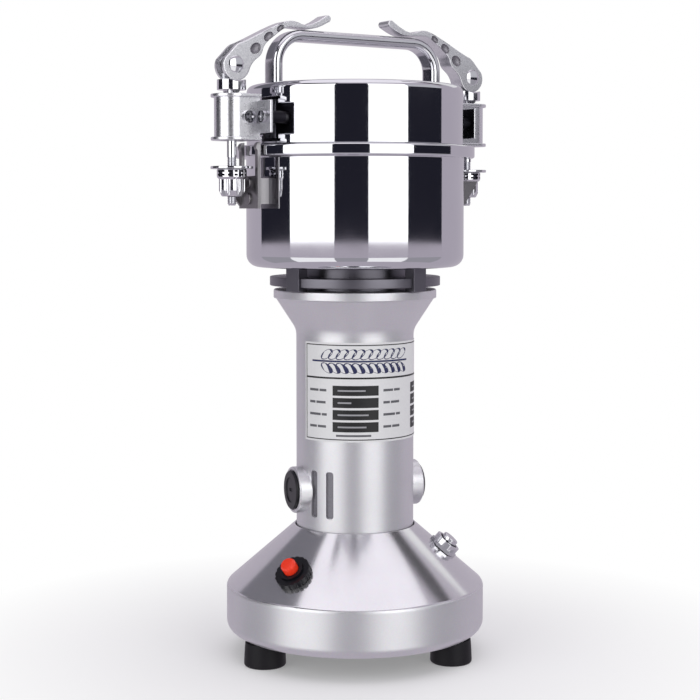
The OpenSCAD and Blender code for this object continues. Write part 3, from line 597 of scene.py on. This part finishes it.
# Each row's two bars: where they start, and how long they are
words = (
    ((3.4, 5.2), (9.2, 3.6)),
    ((3.4, 3.4), (7.4, 5.0)),
    ((3.4, 6.4), (10.4, 2.6)),
    ((3.4, 4.2), (8.2, 4.4)),
)
for row, parts in enumerate(words):
    for offset in (0, 36):
        for left, width in parts:
            middle = row_top + row * row_step + row_h / 2
            stamp(captions, left + offset, left + width + offset, middle - 0.55, middle + 0.55,
                  print_low, print_high)
stamp(captions, 17.5, 33.5, 41.6, 42.5, print_low, print_high)
wrap(captions, "label_captions", grey_ink)

entries = bmesh.new()
lengths = ((12.6, 6.5), (6.2, 7.5), (14.0, 5.0), (13.0, 7.0))
for row, pair in enumerate(lengths):
    for left, length in zip(box_left, pair):
        middle = row_top + row * row_step + row_h / 2
        stamp(entries, left + 2.4, left + 2.4 + length, middle - 0.35, middle + 0.35,
              print_high - 0.01, print_high + 0.03)
wrap(entries, "label_entries", white_ink)

# The ear of grain: a stalk with pairs of seeds that lean forward, then awns
emblem = bmesh.new()
ear_z = -8.4
stamp(emblem, 5, 54, -ear_z - 0.4, -ear_z + 0.4, print_low, print_high)
for i in range(11):
    for side in (-1, 1):
        seed = bmesh.new()
        bmesh.ops.create_circle(seed, cap_ends=True, segments=20, radius=1)
        bmesh.ops.scale(seed, vec=(3.5, 1.8, 1), verts=seed.verts)
        thick = bmesh.ops.extrude_face_region(seed, geom=seed.faces[:])
        bmesh.ops.translate(seed, vec=(0, 0, print_high - print_low),
                            verts=[v for v in thick["geom"] if isinstance(v, bmesh.types.BMVert)])
        lean = Matrix.Rotation(math.radians(34 * side), 4, "Z")
        at = Matrix.Translation((13 + 3.7 * i, side * 3.1, 0))
        flat_to_wall = Matrix(((1, 0, 0, 0), (0, 0, 1, print_low), (0, 1, 0, ear_z), (0, 0, 0, 1)))
        bmesh.ops.transform(seed, matrix=flat_to_wall @ at @ lean, verts=seed.verts)
        join(emblem, seed)
wrap(emblem, "label_emblem", navy_ink)

# ---------- Brush holders and caps ----------
# Turned bosses on either side of the column, bead-blasted and lacquered with it, guide the carbon
# brushes. Black phenolic caps with a screwdriver slot close them.

black_plastic, tree, shader, mm = new_material("moulded_phenolic", Roughness=0.34, Specular_IOR_Level=0.35)
grain = add(tree, "TexNoise", {"Scale": 3.5, "Detail": 3.0}, {"Vector": mm})
tone = add(tree, "MixRGB", {"Color1": srgb("#0b0b10"), "Color2": srgb("#15151c")},
           {"Fac": grain.outputs["Fac"]})
tree.links.new(tone.outputs[0], shader.inputs["Base Color"])
bump = add(tree, "Bump", {"Strength": 0.08, "Distance": 0.0001}, {"Height": grain.outputs["Fac"]})
tree.links.new(bump.outputs[0], shader.inputs["Normal"])

boss_r = 21.3 / 2
boss_out = column_r + 3.8
brush_z = cone_top + 17
cap_r = 17.8 / 2
holders = bmesh.new()
caps = bmesh.new()
for turn in (0, math.pi):
    sideways = Matrix.Translation((0, 0, brush_z)) @ Matrix.Rotation(math.pi / 2, 4, "Y")
    outward = Matrix.Rotation(turn, 4, "Z") @ sideways
    boss = lathe([(0, column_r - 6)] + rounded([
        (boss_r, column_r - 6, 0), (boss_r, boss_out, 0.8), (cap_r + 0.5, boss_out, 0.2),
        (cap_r + 0.3, boss_out - 0.5, 0)], 4) + [(0, boss_out - 0.5)], 64, closed=False)
    boss.transform(outward)
    solid(boss, bar(column_r - 0.02, 60, Matrix.Translation((0, 0, brush_z - 30)), 192))
    join(holders, boss)
    cap = lathe([(0, boss_out - 0.4)] + rounded([
        (cap_r, boss_out - 0.4, 0), (cap_r, boss_out + 1.2, 0.5), (cap_r * 0.62 + 0.5, boss_out + 1.2, 0.2),
        (cap_r * 0.62, boss_out + 0.8, 0.1)], 3) + [(0, boss_out + 0.8)], 64, closed=False)
    slot = block((4.6, 1.7, 2), Matrix.Translation((0, 0, boss_out + 1.2)), 0.8, 3)
    slot.transform(Matrix.Rotation(math.pi / 2, 4, "Z"))
    solid(cap, slot)
    cap.transform(outward)
    join(caps, cap)
piece(holders, "brush_bosses", lacquer, "root", "polished_steel", "brush_holders")
piece(caps, "brush_cap_faces", black_plastic, "root", "black_plastic", "brush_caps")

# ---------- End shield, baffle disc and standoff posts ----------
# The motor's end shield is a machined casting whose neck passes through a pressed disc. Four posts of
# the same dull grey steel carry the bowl clear of the hot motor.


def polished(name, code, low, high, scale, stretch=(1, 1, 1)):
    """Polished, ground or plated metal: its roughness wanders a little along its polishing lines."""
    made, tree, shader, mm = new_material(name, Metallic=1.0)
    laid = add(tree, "Mapping", {"Scale": stretch}, {"Vector": mm})
    lines = add(tree, "TexNoise", {"Scale": scale, "Detail": 4.0}, {"Vector": laid.outputs["Vector"]})
    worn = [c * 0.94 for c in srgb(code)[:3]] + [1]
    tone = add(tree, "MixRGB", {"Color1": srgb(code), "Color2": worn}, {"Fac": lines.outputs["Fac"]})
    tree.links.new(tone.outputs[0], shader.inputs["Base Color"])
    rough = add(tree, "MapRange", {"To Min": low, "To Max": high}, {"Value": lines.outputs["Fac"]})
    tree.links.new(rough.outputs["Result"], shader.inputs["Roughness"])
    bump = add(tree, "Bump", {"Strength": 0.02, "Distance": 0.00005}, {"Height": lines.outputs["Fac"]})
    tree.links.new(bump.outputs[0], shader.inputs["Normal"])
    return made


def dress(skin, *nodes):
    """Gives CAD nodes a material; their meshes and places stay as packed."""
    for node in nodes:
        frame["nodes"][node].data.materials.clear()
        frame["nodes"][node].data.materials.append(skin)


def crisp(node, skin, slot, width=0.25, segments=2):
    """A merged copy of a CAD node, its flat faces joined and its sharp edges rounded by a width."""
    source = frame["nodes"][node]
    bm = bmesh.new()
    bm.from_mesh(source.data)
    bmesh.ops.scale(bm, vec=(1000, 1000, 1000), verts=bm.verts)
    bmesh.ops.remove_doubles(bm, verts=bm.verts, dist=1e-3)
    bmesh.ops.dissolve_limit(bm, angle_limit=math.radians(1), verts=bm.verts, edges=bm.edges)
    sharp = [e for e in bm.edges if len(e.link_faces) == 2 and e.calc_face_angle(0) > math.radians(30)]
    bmesh.ops.bevel(bm, geom=sharp, offset=width, affect="EDGES", segments=segments, profile=0.5, material=-1,
                    clamp_overlap=True)
    return piece(bm, node + "_finished", skin, source["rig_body"], slot, node)


# Dull grey steel, faced on a lathe: fine rings round the axis show as a slow change of roughness
machined = polished("machined_grey_steel", "#7c7a82", 0.30, 0.42, 0.25, (0.3, 0.3, 6))
for node in ("standoff_posts", "baffle_disc", "end_shield"):
    crisp(node, machined, "dark_metal")

# ---------- Breaker, power button and gland on the cone ----------
# The overload breaker's knurled ring nut is moulded black, and its tripped button is bright red. The
# power button is a chromed metal push button in a hexagonal bezel. The cord gland is moulded nylon.

# Chromed brass: a bright mirror with faint buffing marks
plated = polished("plated_steel", "#dcdce0", 0.06, 0.16, 0.5)

# Glossy moulded ABS in signal red
red, tree, shader, mm = new_material("red_plastic", Roughness=0.25)
grain = add(tree, "TexNoise", {"Scale": 1.5, "Detail": 3.0}, {"Vector": mm})
tone = add(tree, "MixRGB", {"Color1": srgb("#ee2f16"), "Color2": srgb("#fb4426")},
           {"Fac": grain.outputs["Fac"]})
tree.links.new(tone.outputs[0], shader.inputs["Base Color"])

crisp("reset_bezel", black_plastic, "black_plastic")
crisp("reset_button", red, "red_plastic", 0.5, 4)
crisp("power_bezel", plated, "bright_fastener")
crisp("power_button", plated, "polished_steel", 0.5, 4)
crisp("cord_gland", black_plastic, "black_plastic")

# ---------- Bowl ----------
# A deep-drawn stainless bowl with a folded rim band, mirror-polished outside.

# Mirror-polished stainless steel: very low roughness with long soft polishing clouds
mirror = polished("mirror_steel", "#d9d9de", 0.03, 0.07, 0.08)

low, high = span("grinding_bowl")
bowl_z = low.z
rim_top = high.z
rim_r = high.x
bowl_r = rim_r - 4.9
bowl_wall = 1.2
rim_z = rim_top - 5.4
bowl = lathe(rounded([
    (12, bowl_z, 0), (bowl_r, bowl_z, 5.5), (bowl_r, rim_z, 0.4), (rim_r, rim_z, 1.0), (rim_r, rim_top, 1.0),
    (bowl_r - bowl_wall, rim_top, 0.4), (bowl_r - bowl_wall, bowl_z + 2, 4.3), (12, bowl_z + 2, 0)], 8), 192)
piece(bowl, "bowl", mirror, "root", "mirror_steel", "grinding_bowl")

# ---------- Lid, its liner and seal ----------
# The lid's shell is one polished stainless drawing. A liner of the same steel closes it from below and
# holds a grey silicone ring against the bowl.

low, high = span("lid_shell")
lid_r = high.x
lid = lathe([(0, high.z)] + rounded([
    (1, high.z, 0), (lid_r, high.z, 3), (lid_r, low.z, 0.3), (lid_r - 1, low.z, 0.3),
    (lid_r - 1, high.z - 1, 2), (1, high.z - 1, 0)], 8) + [(0, high.z - 1)], 192, closed=False)
piece(lid, "lid", mirror, "lid", "mirror_steel", "lid_shell")
dress(mirror, "lid_liner")

# Food-grade silicone: a milky grey rubber that lets a little light in
silicone, tree, shader, mm = new_material("silicone", Roughness=0.5, Subsurface_Weight=0.15,
                                          Subsurface_Scale=0.002)
milk = add(tree, "TexNoise", {"Scale": 0.4, "Detail": 2.0}, {"Vector": mm})
tone = add(tree, "MixRGB", {"Color1": srgb("#b9b9bf"), "Color2": srgb("#cfcfd4")},
           {"Fac": milk.outputs["Fac"]})
tree.links.new(tone.outputs[0], shader.inputs["Base Color"])
dress(silicone, "lid_seal")

# ---------- Handle ----------
# A strap of polished flat bar with softly rounded sides, bent twice and screwed to the lid from inside.

low, high = span("handle")
handle_w = 10
handle_t = 5
handle_bend = 13
leg_r = lid_r - 6.3
top_z = high.z - handle_t / 2
legs = [(leg_r, low.z)]
for i in range(13):
    turn = math.pi / 2 * i / 12
    legs.append((leg_r - handle_bend + handle_bend * math.cos(turn),
                 top_z - handle_bend + handle_bend * math.sin(turn)))
line = [Vector(point) for point in legs + [(-x, z) for x, z in reversed(legs)]]
strap_turn = math.atan2(joints["lever_right"]["pos_m"][1], joints["lever_right"]["pos_m"][0])
section = rounded([(-handle_t / 2, -handle_w / 2, 2.2), (handle_t / 2, -handle_w / 2, 2.2),
                   (handle_t / 2, handle_w / 2, 2.2), (-handle_t / 2, handle_w / 2, 2.2)], 8)
strap = bmesh.new()
rings = []
for i, here in enumerate(line):
    ahead = (line[min(i + 1, len(line) - 1)] - line[max(i - 1, 0)]).normalized()
    outward = Vector((ahead.y, -ahead.x))
    ring = []
    for off, y in section:
        ring.append(strap.verts.new((here.x + outward.x * off, y, here.y + outward.y * off)))
    rings.append(ring)
for ring, after in zip(rings, rings[1:]):
    for a, b, c, d in zip(ring, ring[1:] + ring[:1], after[1:] + after[:1], after):
        strap.faces.new((a, b, c, d))
strap.faces.new(rings[0])
strap.faces.new(rings[-1])
bmesh.ops.recalc_face_normals(strap, faces=strap.faces)
piece(strap, "handle_strap", plated, "lid", "polished_steel", "handle",
      place=Matrix.Rotation(strap_turn, 4, "Z"))
dress(plated, "handle_screws")

# ---------- Hook brackets ----------
# Two folded gussets of pressed steel, riveted under the rim; each catches a clamp's washer.

# Pressed steel with a rolled, slightly oily surface
dull = polished("pressed_steel", "#a3a1a3", 0.26, 0.36, 0.8)
for side in ("left", "right"):
    crisp(f"hook_bracket_{side}", dull, "pressed_steel")
crisp("hook_studs", dull, "pressed_steel")

# ---------- Clamp brackets ----------
# A deep-drawn cup of nickel-plated sheet with a flange top and bottom, on a wing plate screwed through
# spacers to the lid. Slots in its floors let the rod swing.


def slab(outline, low, high, edge=0.0, steps=2):
    """A flat outline (x, y) pulled up from one height to another, its sharp edges rounded."""
    bm = bmesh.new()
    face = bm.faces.new([bm.verts.new((x, y, low)) for x, y in outline])
    pulled_up(bm, face, (0, 0, high - low))
    if edge:
        sharp = [e for e in bm.edges if e.calc_face_angle(0) > math.radians(30)]
        bmesh.ops.bevel(bm, geom=sharp, offset=edge, affect="EDGES", segments=steps, profile=0.5, material=-1,
                        clamp_overlap=True)
    return bm


def arch(centre, start, radius, steps=20):
    """The plan of a clamp bracket: straight sides from the lid, closed by a half circle."""
    turns = [math.pi * (i / steps - 0.5) for i in range(steps + 1)]
    half_circle = [(centre + radius * math.cos(t), radius * math.sin(t)) for t in turns]
    return [(start, -radius)] + half_circle + [(start, radius)]


# Nickel plating on sheet: brighter than the steel, softly blurred by the rolled sheet under it
nickel = polished("nickel_plate", "#e6e6ea", 0.24, 0.32, 0.6)

# Painted shade: a near-black steel for the spacers in the gap behind the wing plate, the plate's back that
# faces the lid, and the notches of the nuts
recess_shade = polished("painted_recess_shade", "#2b2a30", 0.35, 0.5, 0.6)

pivot = Vector(joints["lever_right"]["pos_m"]) * 1000
clamp_turn = {"right": math.atan2(pivot.y, pivot.x), "left": math.atan2(pivot.y, pivot.x) + math.pi}
rod_x = math.hypot(pivot.x, pivot.y)
pivot_z = pivot.z
rod_d = 4.2
sheet_t = 1.5
bracket_r = 7.7
flange_r = bracket_r + 1.5
plate_x = rim_r + 0.15
bracket_low = rim_top + 1.45
bracket_top = pivot_z - 12.8
bracket_mid = (bracket_low + bracket_top) / 2
wing_w = 18.7
wing_screw_y = 13.6
for side, turn in clamp_turn.items():
    place = Matrix.Rotation(turn, 4, "Z")
    cup = slab(arch(rod_x, plate_x, bracket_r), bracket_low, bracket_top, 0.3)
    for foot in (bracket_low, bracket_top - sheet_t):
        solid(cup, slab(arch(rod_x, plate_x, flange_r), foot, foot + sheet_t, 0.35, 3), "UNION")
    wing = block((sheet_t, 2 * wing_w, bracket_top - bracket_low - 6),
                 Matrix.Translation((plate_x + sheet_t / 2, 0, bracket_mid)), 0.4)
    solid(cup, wing, "UNION")
    hollow = arch(rod_x, plate_x - 1, bracket_r - sheet_t)
    solid(cup, slab(hollow, bracket_low + sheet_t, bracket_top - sheet_t))
    for height, reach in ((bracket_low - 1, 3.1), (bracket_top - 3, 1.1)):
        gap_w = rod_d / 2 + 0.3
        solid(cup, slab(arch(rod_x + reach, rod_x - gap_w, gap_w), height, height + 5))
    # The wing plate's back, facing the lid across the shaded gap, takes the painted shade
    for face in cup.faces:
        if face.calc_center_median().x < plate_x + 0.05:
            face.material_index = 1
    # The spacers in that gap take the painted shade as well
    spacers = bmesh.new()
    for y in (-wing_screw_y, wing_screw_y):
        across = Matrix.Translation((lid_r - 3, y, bracket_mid)) @ Matrix.Rotation(math.pi / 2, 4, "Y")
        stud = bar(2.7, plate_x - lid_r + 3.05, across, 32)
        solid(stud, bar(lid_r + 0.02, 60, Matrix.Translation((0, 0, bracket_mid - 30)), 192))
        join(spacers, stud)
    piece(cup, f"clamp_cup_{side}", nickel, "lid", "pressed_steel", f"clamp_bracket_{side}", place=place,
          inner=recess_shade)
    piece(spacers, f"clamp_spacers_{side}", recess_shade, "lid", "pressed_steel", place=place)
crisp("bracket_screws", plated, "bright_fastener", 0.15)

# ---------- Saddles, rods, washers and adjusting nuts ----------
# The rod is turned and threaded; its nut is a castellated casting, barrel-plated, whose flared collar
# has two rows of notches for a key.

for side, turn in clamp_turn.items():
    place = Matrix.Rotation(turn, 4, "Z")
    crisp(f"clamp_saddle_{side}", plated, "polished_steel")
    crisp(f"clamp_washer_{side}", plated, "polished_steel")
    rod_low = span(f"clamp_rod_{side}")[0].z
    thread_top = rim_z
    pitch = 0.7
    screw = [(0, rod_low), (rod_d / 2 - 0.6, rod_low)]
    for i in range(int((thread_top - rod_low - 0.6) / pitch)):
        start = rod_low + 0.6 + i * pitch
        screw += [(rod_d / 2 - 0.4, start), (rod_d / 2, start + pitch / 2)]
    screw += [(rod_d / 2, thread_top), (rod_d / 2, pivot_z - 3), (0, pivot_z - 3)]
    rod = lathe(screw, 40, closed=False)
    rod.transform(Matrix.Translation((rod_x, 0, 0)))
    eye_w = rod_d - 0.4
    across = Matrix.Translation((rod_x, eye_w / 2, pivot_z)) @ Matrix.Rotation(math.pi / 2, 4, "X")
    solid(rod, bar(4, eye_w, across), "UNION")
    solid(rod, bar(1.85, 20, across @ Matrix.Translation((0, 0, -8))))
    body = frame["nodes"][f"clamp_rod_{side}"]["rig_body"]
    piece(rod, f"threaded_rod_{side}", plated, body, "polished_steel", f"clamp_rod_{side}", place=place)

    low, high = span(f"adjusting_nut_{side}")
    nut = lathe(rounded([
        (rod_d / 2 + 0.1, low.z, 0.1), (4.5, low.z, 0.7), (5.7, low.z + 2.6, 0.8), (5.7, low.z + 7.6, 0.5),
        (6.6, low.z + 8.5, 0.3), (6.6, high.z, 0.6), (rod_d / 2 + 0.1, high.z, 0.1)], 4), 96)
    nut.transform(Matrix.Translation((rod_x, 0, 0)))
    flutes = bmesh.new()
    for i in range(8):
        groove = Matrix.Rotation(math.tau * i / 8, 4, "Z") @ Matrix.Translation((6.1, 0, low.z - 1))
        join(flutes, bar(1.15, 8.6, Matrix.Translation((rod_x, 0, 0)) @ groove, 20))
    for i in range(14):
        for row in (9.5, 11.1):
            notch = Matrix.Rotation(math.tau * i / 14, 4, "Z") @ Matrix.Translation((6.6, 0, low.z + row))
            join(flutes, block((1.3, 1.5, 0.9), Matrix.Translation((rod_x, 0, 0)) @ notch))
    solid(nut, flutes)
    # The notches' faces take the painted shade of these recesses
    for face in nut.faces:
        middle = face.calc_center_median() - Vector((rod_x, 0, 0))
        if low.z + 8.8 < middle.z < high.z - 0.4 and 3 < math.hypot(middle.x, middle.y) < 6.5:
            face.material_index = 1
    body = frame["nodes"][f"adjusting_nut_{side}"]["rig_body"]
    piece(nut, f"castle_nut_{side}", plated, body, "polished_steel", f"adjusting_nut_{side}", place=place,
          inner=recess_shade)

# ---------- Levers and pins ----------
# Forged over-centre levers with a raised rim and three oval dimples a side, tumbled and plated satin.


def flow(points, steps=4):
    """A soft curve through the middles between points, from the first point to the last."""
    points = [Vector(point) for point in points]
    line = [points[0]]
    for i in range(1, len(points) - 1):
        start = points[0] if i == 1 else (points[i - 1] + points[i]) / 2
        end = points[-1] if i == len(points) - 2 else (points[i] + points[i + 1]) / 2
        for step in range(1, steps + 1):
            t = step / steps
            line.append((1 - t) ** 2 * start + 2 * t * (1 - t) * points[i] + t * t * end)
    return line


# Satin plating on a forging: nearly white, too rough to mirror, with a faint hammered skin
satin, tree, shader, mm = new_material("satin_plate", Metallic=0.85)
skin_noise = add(tree, "TexNoise", {"Scale": 0.9, "Detail": 3.0}, {"Vector": mm})
tone = add(tree, "MixRGB", {"Color1": srgb("#dadade"), "Color2": srgb("#ececef")},
           {"Fac": skin_noise.outputs["Fac"]})
tree.links.new(tone.outputs[0], shader.inputs["Base Color"])
rough = add(tree, "MapRange", {"To Min": 0.18, "To Max": 0.28}, {"Value": skin_noise.outputs["Fac"]})
tree.links.new(rough.outputs["Result"], shader.inputs["Roughness"])
bump = add(tree, "Bump", {"Strength": 0.05, "Distance": 0.0001}, {"Height": skin_noise.outputs["Fac"]})
tree.links.new(bump.outputs[0], shader.inputs["Normal"])

cam_r = 7.2
cam_drop = 1.2
lever_w = 8.6
open_turn = math.radians(115)
cam = [(cam_r * math.cos(math.radians(a)), cam_r * math.sin(math.radians(a))) for a in range(-165, -90, 8)]
for i in range(17):
    turn = -math.pi / 2 + open_turn * i / 16
    reach = cam_r - cam_drop * i / 16
    cam.append((reach * math.cos(turn), reach * math.sin(turn)))
back = flow([(2, 6.1), (-0.4, 9), (-4, 10), (-23, 19.6), (-30, 21.2), (-38, 17.8), (-47.6, 24.4)])
tip = flow([(-49, 24), (-50.2, 22.6), (-48.8, 21.3)], 3)
belly = flow([(-48, 21), (-42, 17.6), (-34, 17.7), (-26.4, 18.2), (-20.4, 14), (-14.2, 9.2), (-13.2, 4.6),
              (-8.6, 1.6), (-7.3, -1)])
lever_outline = [Vector(point) for point in cam] + back + tip + belly
# Painted shade: a darker grey on the floors of the dimples
dimple_shade = polished("dimple_painted_shade", "#8f8d93", 0.4, 0.5, 0.8)
dimples = ((-9.8, 7.4, 3.0, 2.3), (-16.5, 12.9, 2.8, 1.9), (-22.6, 16.9, 2.2, 1.3))
for side, turn in clamp_turn.items():
    place = Matrix.Rotation(turn, 4, "Z")
    upright = Matrix.Translation((rod_x, 0, pivot_z)) @ Matrix.Rotation(math.pi / 2, 4, "X")
    lever = slab(lever_outline, -lever_w / 2, lever_w / 2, 0.55, 3)
    dents = bmesh.new()
    lean = Matrix.Rotation(math.radians(-35), 4, "Z")
    for x, y, long, short in dimples:
        for face in (-1, 1):
            dent = bmesh.new()
            bmesh.ops.create_uvsphere(dent, u_segments=24, v_segments=12, radius=1)
            laid = Matrix.Translation((x, y, face * (lever_w / 2 + 0.2))) @ lean
            bmesh.ops.transform(dent, verts=dent.verts, matrix=laid @ Matrix.Diagonal((long, short, 1.3, 1)))
            join(dents, dent)
    solid(lever, dents)
    # The dimples' floors take the painted shade
    for face in lever.faces:
        middle = face.calc_center_median()
        if abs(middle.z) < lever_w / 2 - 0.01 and abs(face.normal.z) > 0.3:
            if any(math.hypot(middle.x - x, middle.y - y) < long for x, y, long, short in dimples):
                face.material_index = 1
    solid(lever, bar(1.8, 30, Matrix.Translation((0, 0, -15)), 40))
    slot_w = rod_d + 0.6
    solid(lever, block((40, 40, slot_w), Matrix.Translation((-5 + 20, 0, 0))))
    piece(lever, f"forged_lever_{side}", satin, f"lever_{side}", "polished_steel", f"lever_{side}",
          place=place @ upright, inner=dimple_shade)
    # Half of the pin's outline, from its middle out to the dome; the other half mirrors it
    dome = [(1.75, 0), (3.75, 0), (3.5, 0.2), (2.8, 0.5), (1.6, 0.72), (0, 0.8)]
    far_end = [(r, lever_w / 2 + out) for r, out in dome]
    near_end = [(r, -z) for r, z in reversed(far_end)]
    pin = lathe(near_end + far_end, 40, closed=False)
    body = frame["nodes"][f"lever_pin_{side}"]["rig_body"]
    piece(pin, f"domed_pin_{side}", plated, body, "polished_steel", f"lever_pin_{side}",
          place=place @ upright)

# ---------- Blades and shaft ----------
# Ground blades and spacer on the motor's hardened shaft, held by a nut.

# Ground tool steel: fine parallel grinding lines
ground = polished("ground_steel", "#c9c9ce", 0.14, 0.26, 0.8, (0.2, 4, 4))
for node in ("motor_shaft", "blade_spacer", "lower_blade", "upper_blade"):
    crisp(node, ground, "ground_steel")
dress(plated, "blade_nut", "bowl_screws", "foot_screws")

# ---------- Motor inside ----------
# Universal motor: riveted laminations, enamelled copper windings, a copper commutator with carbon
# brushes, ball bearings, and a moulded fan. Black mouldings hold the bearing and close the base.

# Punched silicon-steel laminations 0.5 mm thick, seen as fine bands along the shaft
laminated, tree, shader, mm = new_material("laminated_steel", Metallic=0.9, Roughness=0.42)
layers = add(tree, "TexWave", {"bands_direction": "Z", "Scale": 0.62, "Distortion": 0.2}, {"Vector": mm})
tone = add(tree, "MixRGB", {"Color1": srgb("#5c5a60"), "Color2": srgb("#98969c")},
           {"Fac": layers.outputs["Fac"]})
tree.links.new(tone.outputs[0], shader.inputs["Base Color"])
dress(laminated, "stator_core", "armature_core")

# Enamelled copper wire 0.4 mm thick, wound in rows
wire, tree, shader, mm = new_material("copper_wire", Metallic=0.85, Roughness=0.3)
turns = add(tree, "TexWave", {"bands_direction": "DIAGONAL", "Scale": 0.8, "Distortion": 0.6}, {"Vector": mm})
tone = add(tree, "MixRGB", {"Color1": srgb("#7a3418"), "Color2": srgb("#c26a35")},
           {"Fac": turns.outputs["Fac"]})
tree.links.new(tone.outputs[0], shader.inputs["Base Color"])
bump = add(tree, "Bump", {"Strength": 0.4, "Distance": 0.0002}, {"Height": turns.outputs["Fac"]})
tree.links.new(bump.outputs[0], shader.inputs["Normal"])
dress(wire, "field_windings", "armature_windings")

# Hard-drawn copper segments, polished by the brushes
dress(polished("commutator_copper", "#c4703f", 0.18, 0.34, 0.6, (1, 1, 5)), "commutator")

# Pressed carbon: almost black, with a grey sheen
carbon, tree, shader, mm = new_material("pressed_carbon", Roughness=0.5)
grit = add(tree, "TexNoise", {"Scale": 5.0, "Detail": 4.0}, {"Vector": mm})
tone = add(tree, "MixRGB", {"Color1": srgb("#1c1c1e"), "Color2": srgb("#323236")},
           {"Fac": grit.outputs["Fac"]})
tree.links.new(tone.outputs[0], shader.inputs["Base Color"])
dress(carbon, "carbon_brushes")

# Glass-filled nylon: an ivory moulding, slightly cloudy
nylon, tree, shader, mm = new_material("moulded_nylon", Roughness=0.45)
cloud = add(tree, "TexNoise", {"Scale": 0.5, "Detail": 3.0}, {"Vector": mm})
tone = add(tree, "MixRGB", {"Color1": srgb("#cdc8b8"), "Color2": srgb("#ded9ca")},
           {"Fac": cloud.outputs["Fac"]})
tree.links.new(tone.outputs[0], shader.inputs["Base Color"])
dress(nylon, "cooling_fan")

dress(ground, "lower_bearing", "upper_bearing")
dress(black_plastic, "bottom_plate", "bearing_bridge", "reset_breaker", "power_switch", "shaft_seal")
